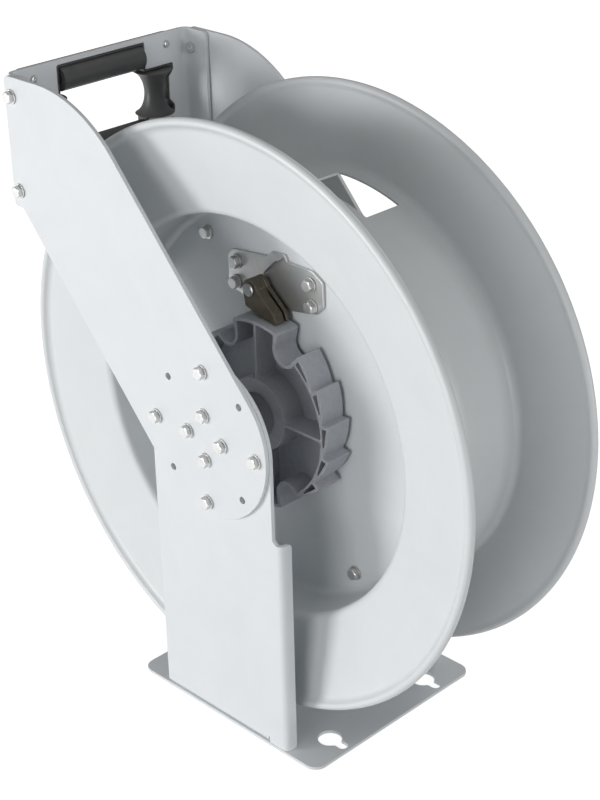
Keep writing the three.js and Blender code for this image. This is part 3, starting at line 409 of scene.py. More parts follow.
def rounded(corners, steps=5, closed=True):
    """The outline through corners (u, v, radius), with an arc at each corner that has a radius. The
    arc's points are a blend, along the sweep, of its first and last direction from its centre."""
    table = np.array(corners, float)
    place, radius = table[:, :2], table[:, 2].copy()
    if not closed:
        radius[[0, -1]] = 0
    to_last = unit(np.roll(place, 1, 0) - place)
    to_next = unit(np.roll(place, -1, 0) - place)
    half = np.arccos(np.clip((to_last * to_next).sum(1), -1, 1)) / 2
    straight = (half > math.pi / 2 - 1e-3) | (radius <= 0)
    half = np.where(straight, math.pi / 4, half)
    touch = (radius / np.tan(half))[:, None]
    centre = place + unit(to_last + to_next) * (radius / np.sin(half))[:, None]
    first = unit(place + to_last * touch - centre)
    last = unit(place + to_next * touch - centre)
    share = np.linspace(0, 1, steps + 1)[None, :, None]
    sweep = (math.pi - 2 * half)[:, None, None]
    blend = np.sin((1 - share) * sweep) * first[:, None] + np.sin(share * sweep) * last[:, None]
    points = centre[:, None] + radius[:, None, None] * blend / np.sin(sweep)
    points = np.where(straight[:, None, None], place[:, None], points).reshape(-1, 2)
    apart = np.linalg.norm(points - np.roll(points, 1, 0), axis=1) > 1e-4
    if not closed:
        apart[0] = True
    return points[apart]


def box_outline(u0, v0, u1, v1, radius, steps=6):
    """A rectangle with round corners."""
    return rounded([(u0, v0, radius), (u1, v0, radius), (u1, v1, radius), (u0, v1, radius)], steps)


def polar(radius, degrees):
    """A point on the drum, at an angle clockwise from the top as seen from the ratchet side."""
    angle = np.radians(degrees)
    point = np.broadcast_arrays(radius * np.sin(angle), axis_height + radius * np.cos(angle))
    return np.stack(point, -1)


def cut_at(loop, axis, value, limit):
    """The outline with one more point wherever it crosses the value on that axis, as long as the
    point's other coordinate is below the limit."""
    after = np.roll(loop, -1, 0)
    span = after[:, axis] - loop[:, axis]
    share = (value - loop[:, axis]) / np.where(np.abs(span) < 1e-9, np.nan, span)
    new = loop + share[:, None] * (after - loop)
    side = np.nonzero((share > 1e-6) & (share < 1 - 1e-6) & (new[:, 1 - axis] < limit))[0]
    order = np.argsort(np.concatenate([np.arange(len(loop)), side + share[side]]), kind="stable")
    return np.concatenate([loop, new[side]])[order]


# %% [markdown]
# ## Turned pieces
# A lathe profile is a closed outline of (radius, along) pairs. Turning it is a function of two
# parameters, the place along the profile and the angle. Points that lie on the axis would pile up
# there, so a solid piece keeps a hair's width from it, and a tiny tube closes it out of sight.


# %% Lathe
def lathe_points(profile, angles, centre, upright=False):
    """x and z are the centre plus the radius times the sine and cosine of the angle, and y is the
    place along the axis. An upright axis swaps y and z."""
    radius, along = profile[:, 0][:, None], profile[:, 1][:, None]
    across, up = radius * np.sin(angles)[None], radius * np.cos(angles)[None]
    along = np.broadcast_to(along, across.shape)
    axes = (across, up, along) if upright else (across, along, up)
    return np.stack(axes, -1).reshape(-1, 3) + np.array(centre)


def turned(profile, steps=64, centre=None, upright=False):
    """The closed shell that a profile sweeps in a full turn, about the drum's axis if no other
    centre is given."""
    angles = np.linspace(0, 2 * math.pi, steps, endpoint=False)
    profile = np.array(profile, float)
    profile[:, 0] = np.maximum(profile[:, 0], 0.01)
    middle = (0, 0, axis_height) if centre is None else centre
    points = lathe_points(profile, angles, middle, upright)
    return points, [grid_faces(len(profile), steps, close_rows=True)]


def ring_profile(inner, outer, near, far, edge=0.5):
    """The cross-section of a plain ring with rounded edges."""
    return rounded([(inner, near, edge), (outer, near, edge), (outer, far, edge), (inner, far, edge)], 3)


def walk_back(path, thickness):
    """The same path moved to its left by the thickness, and reversed. The direction at each point
    is the mean of the directions before and after it."""
    ahead = np.diff(path, axis=0)
    along = unit(np.concatenate([ahead[:1], unit(ahead[1:]) + unit(ahead[:-1]), ahead[-1:]]))
    return (path + thickness * np.stack([-along[:, 1], along[:, 0]], -1))[::-1]


# %% [markdown]
# ## Sheet metal and mouldings
# A plate starts as a flat outline with holes. Each outline is a wall, which is a stack of the same
# loop at several depths, pulled in a little at both ends so that the edge is round. A face is filled
# with triangles that use the wall's own points. A moulding is the same thing with more walls, some
# of which stop at a floor. Then a place function puts the flat pattern where it belongs and bends
# it: past a bend line, distance becomes an angle on an arc.


# %% Walls and faces
def inset(loop, distance):
    """The outline moved to its left along each corner's bisector, further at a sharper corner."""
    ahead = unit(np.roll(loop, -1, 0) - loop)
    behind = unit(loop - np.roll(loop, 1, 0))
    left = unit(np.stack([-(ahead + behind)[:, 1], (ahead + behind)[:, 0]], -1))
    lean = np.maximum((left * np.stack([-ahead[:, 1], ahead[:, 0]], -1)).sum(1, keepdims=True), 0.4)
    return loop + left * distance / lean


def walked(loop, leftwards):
    """The outline walked so that its inside is on its left, or on its right for a hole."""
    ahead = np.roll(loop, -1, 0)
    area = (loop[:, 0] * ahead[:, 1] - loop[:, 1] * ahead[:, 0]).sum()
    return loop if (area > 0) == leftwards else loop[::-1]


def wall(loop, start, end, hole=False, edge=0.45, round_start=True, round_end=True):
    """The rows of one wall, from one depth to another: a list of (loop, depth)."""
    loop = walked(np.array(loop, float), not hole)
    angle = np.radians([0, 30, 60, 90])
    pull, sink = edge * (1 - np.sin(angle)), edge * (1 - np.cos(angle))
    way = math.copysign(1, end - start)
    first = [(inset(loop, p), start + way * s) for p, s in zip(pull, sink)]
    last = [(inset(loop, p), end - way * s) for p, s in zip(pull[::-1], sink[::-1])]
    return (first if round_start else [(loop, start)]) + (last if round_end else [(loop, end)])


def inside_even_odd(points, loops):
    """True where a line from the point towards +u crosses the outlines an odd number of times."""
    crossings = np.zeros(len(points), int)
    v = points[:, 1][:, None]
    for loop in loops:
        a, b = loop, np.roll(loop, -1, 0)
        spans = (a[None, :, 1] > v) != (b[None, :, 1] > v)
        rise = np.where(np.abs(b[:, 1] - a[:, 1]) < 1e-12, 1e-12, b[:, 1] - a[:, 1])
        u = a[None, :, 0] + (v - a[None, :, 1]) * (b - a)[None, :, 0] / rise[None]
        crossings += (spans & (u > points[:, 0][:, None])).sum(1)
    return crossings % 2 == 1


def fold_pairs(flat, bends):
    """For each bend line (axis, value, limit), the pairs of points on it that the metal lies
    between. A line ends at its limit along the other axis."""
    pairs = []
    for axis, value, limit in bends:
        on_line = np.nonzero((np.abs(flat[:, axis] - value) < 1e-5) & (flat[:, 1 - axis] < limit))[0]
        on_line = on_line[np.argsort(flat[on_line, 1 - axis])]
        pairs += [(int(a), int(b)) for a, b in zip(on_line[0::2], on_line[1::2])]
    return pairs


def fill(loops, bends):
    """Triangles between the outlines, with an edge along each bend line."""
    flat = np.concatenate(loops)
    starts = np.cumsum([0] + [len(loop) for loop in loops])
    sides = [(int(start + k), int(start + (k + 1) % len(loop)))
             for loop, start in zip(loops, starts) for k in range(len(loop))]
    edges = sides + fold_pairs(flat, bends)
    made = delaunay_2d_cdt([Vector(point) for point in flat.tolist()], edges, [], 0, 1e-7)
    number = np.array([origin[0] if origin else -1 for origin in made[3]])
    triangles = number[np.array(made[2])]
    triangles = triangles[(triangles >= 0).all(1)]
    return triangles[inside_even_odd(flat[triangles].mean(1), loops)]


def moulding(walls, faces, place, bends=()):
    """A closed shell from walls, and faces that each join the ends of some walls. A face is a list
    of (wall number, 0 for its start or -1 for its end). place(u, v, depth) gives x, y and z."""
    points, strips, ends = [], [], {}
    count = 0
    for number, rows in enumerate(walls):
        size = len(rows[0][0])
        strips.append(grid_faces(len(rows), size) + count)
        ends[number, 0] = (rows[0][0], count + np.arange(size))
        ends[number, -1] = (rows[-1][0], count + (len(rows) - 1) * size + np.arange(size))
        points += [np.column_stack([loop, np.full(size, depth)]) for loop, depth in rows]
        count += size * len(rows)
    flat = np.concatenate(points)
    caps = []
    for face in faces:
        used = np.concatenate([ends[end][1] for end in face])
        caps.append(used[fill([ends[end][0] for end in face], bends)])
    solid = np.stack(np.broadcast_arrays(*place(flat[:, 0], flat[:, 1], flat[:, 2])), -1)
    return solid, strips + caps


def plate(loops, thickness, place, bends=(), edge=0.45):
    """A sheet: the first loop is its outside, and the others are holes."""
    ready = [np.array(loop, float) for loop in loops]
    for line in bends:
        ready = [cut_at(loop, *line) for loop in ready]
    walls = [wall(loop, 0, thickness, hole=k > 0, edge=edge) for k, loop in enumerate(ready)]
    everything = list(range(len(walls)))
    faces = [[(k, 0) for k in everything], [(k, -1) for k in everything]]
    return moulding(walls, faces, place, bends)


# %% Placing and bending
def facing_y(near_y, inward):
    """Places a sheet that stands across the drum axis: u is x, v is z, and depth runs inward."""
    return lambda u, v, depth: (u, near_y + inward * depth, v)


def bent(distance, depth, radius, sheet):
    """Past a bend line the sheet follows a quarter turn, then runs straight on. Radius is the
    outer one, and the flat length of the bend is measured in the middle of the sheet. Gives how far
    a point lies along the old direction, and how deep."""
    neutral = radius - sheet / 2
    angle = np.clip(distance / neutral, 0, math.pi / 2)
    beyond = np.maximum(distance - neutral * math.pi / 2, 0)
    along = np.where(distance > 0, (radius - depth) * np.sin(angle), distance)
    inward = np.where(distance > 0, radius - (radius - depth) * np.cos(angle) + beyond, depth)
    return along, inward


def bend_length(radius, sheet):
    """The flat length of a quarter-turn bend."""
    return (radius - sheet / 2) * math.pi / 2


def bend_lines(axis, start, way, radius, sheet, limit=math.inf, steps=8):
    """The lines (axis, value, limit) that cut a bend into small steps, from its first line on."""
    values = start + way * np.linspace(0, bend_length(radius, sheet), steps + 1)
    return [(axis, value, limit) for value in values]


print("shape helpers ready")

# %% [markdown]
# ## Sizes that many pieces share
# Every hole for an M6 bolt has one size, and so has every sheet of the frame. The bolts round the
# shaft stand on two circles. What sits on the fixed shaft has a bore a little wider than it.

# %% Shared sizes
sheet = 4
bolt_hole = 3.3
bolt_circle, inner_bolt_circle = 62.5, 21.4
shaft_radius, shaft_bore = 15, 15.3
head_half = 75                   # half the width of a leg, and of an arm
near_web, far_web = -18, -15.7   # faces of the drum's web that look at the ratchet side
cup_wall, core_wall_radius = 184, 195
tooth_tip_radius = 88.5
print("shared sizes in millimetres")

# %% [markdown]
# ## Base plate
# A flat steel plate with rounded corners. It hangs on four bolts: each keyhole lets a bolt head
# through its round end, and the plate then slides until the bolt sits in the narrow slot. It is cut
# from sheet in one pass, so a plate with holes is all that it needs.

# %% Base plate
base_low, base_high = (np.array(corner) * 1000 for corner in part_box("base_plate"))
keyhole_radius, slot_radius, slot_run = 11, 4.5, 16
keyhole_x, keyhole_y = (-90, 98), (-63.5, 63.5)
base_corner = 12
foot_bolt_x, foot_bolt_y = (-45, 52), 88
foot_bolts = [(x, y) for y in (-foot_bolt_y, foot_bolt_y) for x in foot_bolt_x]


def keyhole(u, v):
    """A round hole that runs on into a narrower slot towards +X."""
    meet = math.degrees(math.asin(slot_radius / keyhole_radius))
    return np.concatenate([arc(u, v, keyhole_radius, meet, 360 - meet, 40),
                           arc(u + slot_run, v, slot_radius, -90, 90, 14)])


base_loops = [box_outline(base_low[0], base_low[1], base_high[0], base_high[1],
                          base_corner, 10)]
base_loops += [keyhole(u, v) for u in keyhole_x for v in keyhole_y]
base_loops += [circle(u, v, bolt_hole) for u, v in foot_bolts]
base_top = base_high[2]
base_shell = plate(base_loops, base_top, lambda u, v, depth: (u, v, base_top - depth))
make_piece("base_plate", [base_shell], "frame", "frame_paint")

# %% [markdown]
# ## Legs and arms
# Each leg is one sheet with a round head, a stiffening flange down its front edge, and a foot that
# turns in under the drum. A press brake makes both bends, so the leg starts as its flat pattern and
# the place function folds it twice. The arms are flat. Their hub end is the same circle as the
# leg's, so an arm can be bolted on at any of eight angles, and the spare holes show.

# %% Holes round the shaft
hub_angles = np.arange(0, 360, 45)
hub_holes = [circle(*polar(bolt_circle, angle), bolt_hole, 20) for angle in hub_angles]
inner_holes = [circle(*polar(inner_bolt_circle, angle), bolt_hole, 20) for angle in hub_angles[::2]]
shaft_hole = [circle(0, axis_height, shaft_radius + 1.2, 48)]

# %% Legs
side_radius, foot_radius = 6.0, 5.0
leg_outer, leg_bottom = 106.0, 3.3
leg_front, flange_depth, flange_top = 86, 12.5, 217.0
foot_depth = 34
side_line = leg_front - side_radius
relief, slit_half = 62.6, 0.6    # the slit between the foot and the side flange
foot_line = leg_bottom + foot_radius
flange_run = bend_length(side_radius, sheet) + flange_depth - side_radius
foot_run = bend_length(foot_radius, sheet) + foot_depth - foot_radius


def leg_place(side):
    """Folds the flat leg: past the side line the sheet turns in, and so does the foot below its
    own line. A relief slit parts the two, and only what lies on the foot's side of it is foot."""
    def place(u, v, depth):
        across, side_in = bent(u - side_line, depth, side_radius, sheet)
        down, foot_in = bent(np.where(u < relief, foot_line - v, 0), depth, foot_radius, sheet)
        down = np.where(u < relief, down, foot_line - v)
        return side_line + across, side * (leg_outer - side_in - foot_in + depth), foot_line - down
    return place


def leg_pattern():
    """The flat leg. It starts at the foot and runs counter-clockwise over the round head."""
    slit_top = foot_line + 2 * slit_half
    lower = rounded([
        (-head_half, foot_line - foot_run, 4),
        (relief - slit_half, foot_line - foot_run, 4),
        (relief - slit_half, slit_top, 0.5),
        (relief + slit_half, slit_top, 0.5),
        (relief + slit_half, leg_bottom, 0),
        (side_line + flange_run, leg_bottom, 2),
        (side_line + flange_run, flange_top, 4),
        (side_line - 0.8, flange_top, 1.5),
        (head_half, flange_top + 3, 2),
        (head_half, axis_height, 0),
    ], closed=False)
    return np.concatenate([lower, arc(0, axis_height, head_half, 0, 180, 72)[1:]])


foot_hole_run = bend_length(foot_radius, sheet) + leg_outer - foot_radius - foot_bolt_y
foot_holes = [circle(u, foot_line - foot_hole_run, bolt_hole) for u in foot_bolt_x]
leg_bends = bend_lines(0, side_line, 1, side_radius, sheet)
leg_bends += bend_lines(1, foot_line, -1, foot_radius, sheet, limit=relief)
leg_loops = [leg_pattern()] + hub_holes + inner_holes + foot_holes
make_piece("near_leg", [plate(leg_loops, sheet, leg_place(-1), leg_bends)], "frame", "frame_paint")
make_piece("far_leg", [plate(leg_loops + shaft_hole, sheet, leg_place(1), leg_bends)],
           "frame", "frame_paint")

# %% Arms
lean_degrees = 41.6
arm_lean = math.radians(lean_degrees)
arm_rear, head_top, head_drop = -245.0, 565.5, 121.0
arm_outer = 110.3
head_radius = 130.0


def arm_outline():
    """A half circle round the hub. Two straight edges leave it along the lean: the front one rolls
    over a large radius into the level top, and the rear one meets the heel of the upright edge."""
    along = np.array([-math.sin(arm_lean), math.cos(arm_lean)])
    across = head_half * np.array([math.cos(arm_lean), math.sin(arm_lean)])
    front_run = (head_top - axis_height - across[1]) / along[1]
    turn = math.pi / 2 - arm_lean
    head_u = across[0] + along[0] * front_run - head_radius * math.tan(turn / 2)
    rear_run = (head_top - head_drop - axis_height + across[1]) / along[1]
    hub = arc(0, axis_height, head_half, 180 + lean_degrees, 360 + lean_degrees, 80)
    head = arc(head_u, head_top - head_radius, head_radius, lean_degrees, 90, 30)
    upright = rounded([(*head[-1], 0), (arm_rear, head_top, 6), (arm_rear, head_top - head_drop, 3),
                       (-across[0] + along[0] * rear_run, head_top - head_drop, 4), (*hub[0], 0)],
                      closed=False)
    return np.concatenate([hub, head, upright[1:-1]])


guide_bolt_x, guide_bolt_heights = arm_rear + 9.5, (547.5, 460.5)
guide_holes = [circle(guide_bolt_x, v, bolt_hole, 20) for v in guide_bolt_heights]
arm_loops = [arm_outline()] + hub_holes + inner_holes + guide_holes
make_piece("near_arm", [plate(arm_loops, sheet, facing_y(-arm_outer, 1))], "frame", "frame_paint")
make_piece("far_arm", [plate(arm_loops + shaft_hole, sheet, facing_y(arm_outer, -1))],
           "frame", "frame_paint")

# %% [markdown]
# ## Hose guide
# The guide plate joins the arms: a flat face with a window, and a flange at each end that the arms'
# screws hold. The window is a cross, so that all four rollers sit inside it. The plastic carrier
# lies on the plate's outer face, and its collar comes through the window and holds the axles.

# %% Guide plate
guide_half, guide_face, guide_radius = 105.7, -249.0, 9.0
guide_line = guide_half - guide_radius
guide_flange = 33
guide_run = bend_length(guide_radius, sheet) + guide_flange - guide_radius
window_height = 511.0


def window(grow, corner):
    """The cross-shaped window, moved outwards by grow: tall in the middle for the level rollers,
    wide at half height for the upright ones, whose sides come in beside their waists."""
    notch_half, notch_rise, wing_half, wing_rise = 51.5, 50.0, 85.5, 24.0
    quarter = np.array([(notch_half, notch_rise, corner), (notch_half, wing_rise, 1.0),
                        (wing_half, wing_rise, corner), (wing_half, 17.3, 1.0),
                        (wing_half - 6, 10.8, 1.0)])
    quarter[:, 0] += grow
    quarter[:3, 1] += grow
    lower = (quarter * (1, -1, 1))[::-1]
    right = np.concatenate([quarter, lower])
    left = (right * (-1, -1, 1))
    return rounded(np.concatenate([right, left]), 4) + (0, window_height)


def guide_place(u, v, depth):
    """Folds both ends of the guide plate towards the drum."""
    along, inward = bent(np.abs(u) - guide_line, depth, guide_radius, sheet)
    return guide_face + inward, np.sign(u) * (guide_line + along), v


end = guide_line + guide_run
guide_foot = head_top - head_drop
guide_outline = rounded([(-end, guide_foot, 5), (end, guide_foot, 5), (end, head_top, 5),
                         (-end, head_top, 5)])
hole_u = guide_line + bend_length(guide_radius, sheet) + guide_bolt_x - guide_face - guide_radius
guide_loops = [guide_outline, window(0, 2)]
guide_loops += [circle(side * hole_u, v, bolt_hole, 20)
                for side in (-1, 1) for v in guide_bolt_heights]
guide_bends = [line for side in (-1, 1)
               for line in bend_lines(0, side * guide_line, side, guide_radius, sheet)]
make_piece("guide_plate", [plate(guide_loops, sheet, guide_place, guide_bends)],
           "frame", "frame_paint")

# %% Roller carrier
carrier_back, carrier_front, collar_end = -258.3, -249.3, -245.3
collar_loop, bore_loop = window(-0.3, 1.7), window(-2.4, 1.2)
carrier_outline = box_outline(-89.7, window_height - 52.1, 89.7, window_height + 52.1, 5)
carrier_walls = [
    wall(carrier_outline, carrier_back, carrier_front, edge=1.0, round_end=False),
    wall(collar_loop, carrier_front, collar_end, edge=0.4, round_start=False),
    wall(bore_loop, collar_end, carrier_back, hole=True, edge=0.4),
]
carrier_faces = [[(0, 0), (2, -1)], [(0, -1), (1, 0)], [(1, -1), (2, 0)]]
carrier_shell = moulding(carrier_walls, carrier_faces, lambda u, v, depth: (depth, u, v))
make_piece("roller_carrier", [carrier_shell], "frame", "black_plastic")

# %% [markdown]
# ## Rollers and axles
# The level rollers are plain barrels. The upright ones have a waist, which keeps the hose in the
# middle: half of an ellipse gives their profile. Both kinds are turned from rod, with a recess at
# each end where the tool faced them.

# %% Rollers
axle_radius, roller_bore = 3.0, 3.3
barrel_offset, waisted_offset = 36, 63      # roller axes from the middle of the window
waist, waist_end, waist_roundness = 9.2, 19.0, 0.92


def barrel_profile():
    """A barrel with rounded edges and a shallow ring cut into each end."""
    end, outer = 48.1, 11.5
    right = [(roller_bore, end - 0.8, 0.2), (5.2, end - 0.8, 0.2), (5.8, end, 0.3), (outer, end, 1.1)]
    left = [(u, -v, radius) for u, v, radius in reversed(right)]
    return rounded(right + left, 4)


def waisted_profile():
    """A waist: the radius grows from the middle to both ends along half an ellipse."""
    along = np.linspace(-1, 1, 41)
    flare = 1 - np.sqrt(1 - waist_roundness * along ** 2)
    radius = waist + (waist_end - waist) * flare / flare[-1]
    outside = np.column_stack([radius, along * 20.6])
    lower = rounded([(roller_bore, -20.2, 0), (5.6, -20.2, 0.2), (6.2, -21, 0.3), (18.6, -21, 0.2),
                     (waist_end, -20.6, 0)], 3, closed=False)
    upper = (lower * (1, -1))[::-1]
    return np.concatenate([lower[:-1], outside, upper[1:]])


for name, rise in (("top", barrel_offset), ("bottom", -barrel_offset)):
    centre = (guide_face, 0, window_height + rise)
    make_piece(f"{name}_roller", [turned(barrel_profile(), 48, centre)], f"{name}_roller",
               "black_plastic")
    make_piece(f"{name}_roller_axle", [turned(ring_profile(0, axle_radius, -50.6, 50.6), 24, centre)],
               "frame", "bright_steel")
for name, side in (("near", -waisted_offset), ("far", waisted_offset)):
    centre = (guide_face, side, window_height)
    make_piece(f"{name}_roller", [turned(waisted_profile(), 64, centre, upright=True)],
               f"{name}_roller", "black_plastic")
    make_piece(f"{name}_roller_axle",
               [turned(ring_profile(0, axle_radius, -23.1, 23.1), 24, centre, upright=True)],
               "frame", "bright_steel")

# %% [markdown]
# ## Drum shells
# Each half of the drum is one spun disc: a flat middle, a wall, a rounded lip and a cone that ends
# in a rolled bead, which makes the thin edge stiff and kind to the hose. Spinning is turning, so a
# path through the sheet is given a thickness and turned. The bead is a circle, and a small arc
# fills the corner between the cone and the bead, as the metal does.

# %% Rim and path
rim_reach, bead_radius, cone_degrees = 266.0, 4.0, 8
cone = math.radians(cone_degrees)


def fillet_to_bead(line_point, line_way, out_way, bead, fill_radius):
    """The arc that touches a straight line and a round bead from outside both. Its centre is one
    fill radius from the line, and one fill radius beyond the bead. Gives its centre and where it
    touches the line and the bead."""
    offset = bead - line_point
    along = offset @ line_way
    height = offset @ out_way
    back = math.sqrt((bead_radius + fill_radius) ** 2 - (fill_radius - height) ** 2)
    centre = line_point + (along - back) * line_way + fill_radius * out_way
    on_line = centre - fill_radius * out_way
    on_bead = bead + bead_radius * unit(centre - bead)
    return centre, on_line, on_bead


def angle_of(vector):
    """The direction of a vector in degrees."""
    return math.degrees(math.atan2(vector[1], vector[0]))


def short_way(start, end):
    """The end angle written so that the turn from the start is less than half round."""
    return start + (end - start + 180) % 360 - 180


def shell_profile(lead, wall_radius, seat, bead_y, side, sheet, fill=5.0):
    """The shell's cross-section. side is -1 for the ratchet side and 1 for the hose's far side. The
    lip's arc ends where the cone leaves it, so that the two run on smoothly."""
    lip, far_fill = 8.0, 5.0
    touch_u = wall_radius + lip * (1 - math.sin(cone))
    touch_v = seat - side * math.tan(cone) * (rim_reach - touch_u)
    centre = (wall_radius + lip, touch_v - side * lip * math.cos(cone))
    lip_arc = arc(*centre, lip, 180, 180 - side * (90 - cone_degrees), 12)
    path = np.concatenate([lead, lip_arc])
    way = np.array([math.cos(cone), side * math.sin(cone)])
    out = np.array([way[1], -way[0]])
    path_side = walk_back(path, sheet)[::-1]
    bead = np.array([rim_reach, bead_y])
    first = fillet_to_bead(lip_arc[-1], way, out, bead, fill)
    second = fillet_to_bead(path_side[-1], way, -out, bead, far_fill)
    pieces = [path]
    start = angle_of(first[1] - first[0])
    pieces.append(arc(*first[0], fill, start, short_way(start, angle_of(first[2] - first[0])), 8))
    start = angle_of(first[2] - bead)
    end = angle_of(second[2] - bead)
    sweep = (end - start) % 360
    pieces.append(arc(*bead, bead_radius, start, start + sweep, 22)[1:-1])
    start = angle_of(second[2] - second[0])
    end = short_way(start, angle_of(second[1] - second[0]))
    pieces.append(arc(*second[0], far_fill, start, end, 8))
    pieces.append(path_side[::-1])
    return np.concatenate(pieces)


# %% Near shell
shell_sheet = 2.0
hub_opening = 34                 # radius of both shells' centre holes
cup_fillet, near_seat, near_bead = 7, -75.3, -75.5
near_lead = np.concatenate([
    [(hub_opening, near_web), (60, near_web), (120, near_web)],
    arc(cup_wall - cup_fillet, near_web - cup_fillet, cup_fillet, 90, 0, 10),
    [(cup_wall, -35), (cup_wall, -45)],
])
near_profile = shell_profile(near_lead, cup_wall, near_seat, near_bead, -1, shell_sheet, fill=8.0)
make_piece("near_shell", [turned(near_profile, 256)], "drum", "drum_paint")

# %% [markdown]
# ## Far shell and its window
# The far half carries the core that the hose lies on. The hose reaches the swivel inside through a
# window in the core's wall. A turned surface is a grid, so a window is a block of cells left out of
# the wall's outer and inner side, and one strip of quads that joins their edges.

# %% Far shell
window_angles = (0, 21)
window_reach = (18.0, 58.5)
window_rows = np.linspace(*window_reach, 5)
shoulder, far_seat, far_bead = 24, 79.3, 81.0
wall_rows = np.concatenate([[13.0], window_rows, [60.0]])
far_lead = np.concatenate([
    [(hub_opening, far_web), (80, far_web), (130, far_web)],
    arc(core_wall_radius - shoulder, far_web + shoulder, shoulder, -90, 0, 14),
    np.column_stack([np.full(7, float(core_wall_radius)), wall_rows]),
])
far_profile = shell_profile(far_lead, core_wall_radius, far_seat, far_bead, 1, shell_sheet)


def turned_with_window(profile, wall_radius, sheet):
    """A turned shell with a rectangular opening through its cylindrical wall. The angles are the
    window's own steps, then the rest of the turn."""
    window_turn = np.radians(np.linspace(*window_angles, 18))
    rest = np.radians(np.linspace(window_angles[1], 360 + window_angles[0], 242)[1:-1])
    angles = np.concatenate([window_turn, rest])
    columns, last = len(angles), len(window_turn) - 1
    points = lathe_points(profile, angles, (0, 0, axis_height))
    rows = []
    for radius in (wall_radius, wall_radius - sheet):
        on_wall = np.abs(profile[:, 0] - radius) < 0.01
        inside = (profile[:, 1] > window_reach[0] - 0.01) & (profile[:, 1] < window_reach[1] + 0.01)
        found = np.nonzero(on_wall & inside)[0]
        rows.append(found[np.argsort(profile[found, 1])])
    quads = grid_faces(len(profile), columns, close_rows=True)
    row, column = quads[:, 0] // columns, quads[:, 0] % columns
    gone = np.zeros(len(quads), bool)
    for found in rows:
        gone |= (row >= found.min()) & (row < found.max()) & (column < last)
    across = np.arange(last + 1)
    rims = []
    for found in rows:
        block = found[:, None] * columns + across[None, :]
        rims.append(np.concatenate([block[0, :-1], block[:-1, -1], block[-1, :0:-1], block[:0:-1, 0]]))
    outer, inner = rims
    strip = np.stack([outer, np.roll(outer, -1), np.roll(inner, -1), inner], -1)
    return points, [quads[~gone], strip]


make_piece("far_shell", [turned_with_window(far_profile, core_wall_radius, shell_sheet)],
           "drum", "drum_paint")

# %% [markdown]
# ## Ratchet wheel
# A moulded nylon wheel: thin walls round a thin floor, a hub, and two ribs. A smooth land lies
# between two deep notches, and then come five long saw teeth, twice round. The teeth are hollow, as
# thick lumps of plastic would sink. All pockets open towards the pawl's side, so the wheel is a
# moulding: an outside, a bore, and blind pockets that end at the floor.

# %% Ratchet outline
tip_radius, tooth_drop, wheel_wall = tooth_tip_radius, 8.0, 3.0
land_half, notch_span, tooth_span = 18.0, 18.0, 21.6
notch_round, notch_floor = 11.0, 67.0
wheel_near, wheel_back, wheel_floor = -48.4, -22.4, -24.9


def notch(centre, grow, steps=20):
    """Half a circle that opens outwards at an angle on the wheel. Its middle lies one notch radius
    above the floor, and its points are turned to the notch's place."""
    turn = np.radians(np.linspace(0, 180, steps + 1))
    across = -(notch_round + grow) * np.cos(turn)
    along = notch_floor + notch_round - (notch_round + grow) * np.sin(turn)
    return polar(np.hypot(across, along), centre + np.degrees(np.arctan2(across, along)))


def round_arc(radius, start, end, steps):
    """Points at one radius between two angles on the wheel."""
    return polar(radius, np.linspace(start, end, steps + 1))


def corner_list(points, radius=0.0):
    """Points as corners (u, v, radius) for rounded()."""
    points = np.atleast_2d(points)
    return np.column_stack([points, np.full(len(points), radius)])


def tooth(start):
    """A crowned saw tooth: from the tip it falls slowly, past halfway, to the heel."""
    share = np.array([0.0, 0.2, 0.4, 0.6, 0.8, 0.97])
    drop = tooth_drop * (0.8 * share + 0.23 * share ** 2)
    points = polar(tip_radius - drop, start + tooth_span * share)
    return np.column_stack([points, [0.9, 0, 0, 0, 0, 0.5]])


def wheel_outline():
    """Both halves of the wheel: notch, land, notch, five teeth."""
    parts = []
    for turn in (0, 180):
        parts.append(corner_list(notch(turn - land_half - notch_span / 2, 0)))
        parts.append(corner_list(polar(tip_radius, turn - land_half), 2.0))
        parts.append(corner_list(round_arc(tip_radius, turn - land_half + 3, turn + land_half - 3, 10)))
        parts.append(corner_list(polar(tip_radius, turn + land_half), 2.0))
        parts.append(corner_list(notch(turn + land_half + notch_span / 2, 0)))
        parts += [tooth(turn + land_half + notch_span + k * tooth_span) for k in range(5)]
    return rounded(np.concatenate(parts), 3)


# %% Ratchet pockets
hub_reach, rib_half = 34.0, 1.25


def quarter_pocket(flip_u, flip_v):
    """The pocket between two ribs: along the upright rib to the land, round a notch, along the
    teeth's inside to the level rib, and back round the hub."""
    inside, floor_angle = tip_radius - tooth_drop - wheel_wall, 2.6
    land_inside = tip_radius - wheel_wall
    rib_turn = math.degrees(math.asin(rib_half / hub_reach))
    level = math.degrees(math.asin(rib_half / inside))
    corners = np.concatenate([
        [[rib_half, axis_height + math.sqrt(hub_reach ** 2 - rib_half ** 2), 1.5],
         [rib_half, axis_height + math.sqrt(land_inside ** 2 - rib_half ** 2), 1.5]],
        corner_list(round_arc(land_inside, 4, land_half - floor_angle - 2, 5)),
        corner_list(polar(land_inside, land_half - floor_angle), 1.2),
        corner_list(notch(land_half + notch_span / 2, wheel_wall, 16)[1:-1]),
        corner_list(round_arc(inside, land_half + notch_span + 2, 90 - 4, 12)),
        corner_list(polar(inside, 90 - level), 1.5),
        corner_list(polar(hub_reach, 90 - rib_turn), 1.5),
        corner_list(round_arc(hub_reach, 90 - rib_turn - 5, rib_turn + 5, 10)),
    ])
    loop = rounded(corners, 3) - (0, axis_height)
    return loop * (flip_u, flip_v) + (0, axis_height)


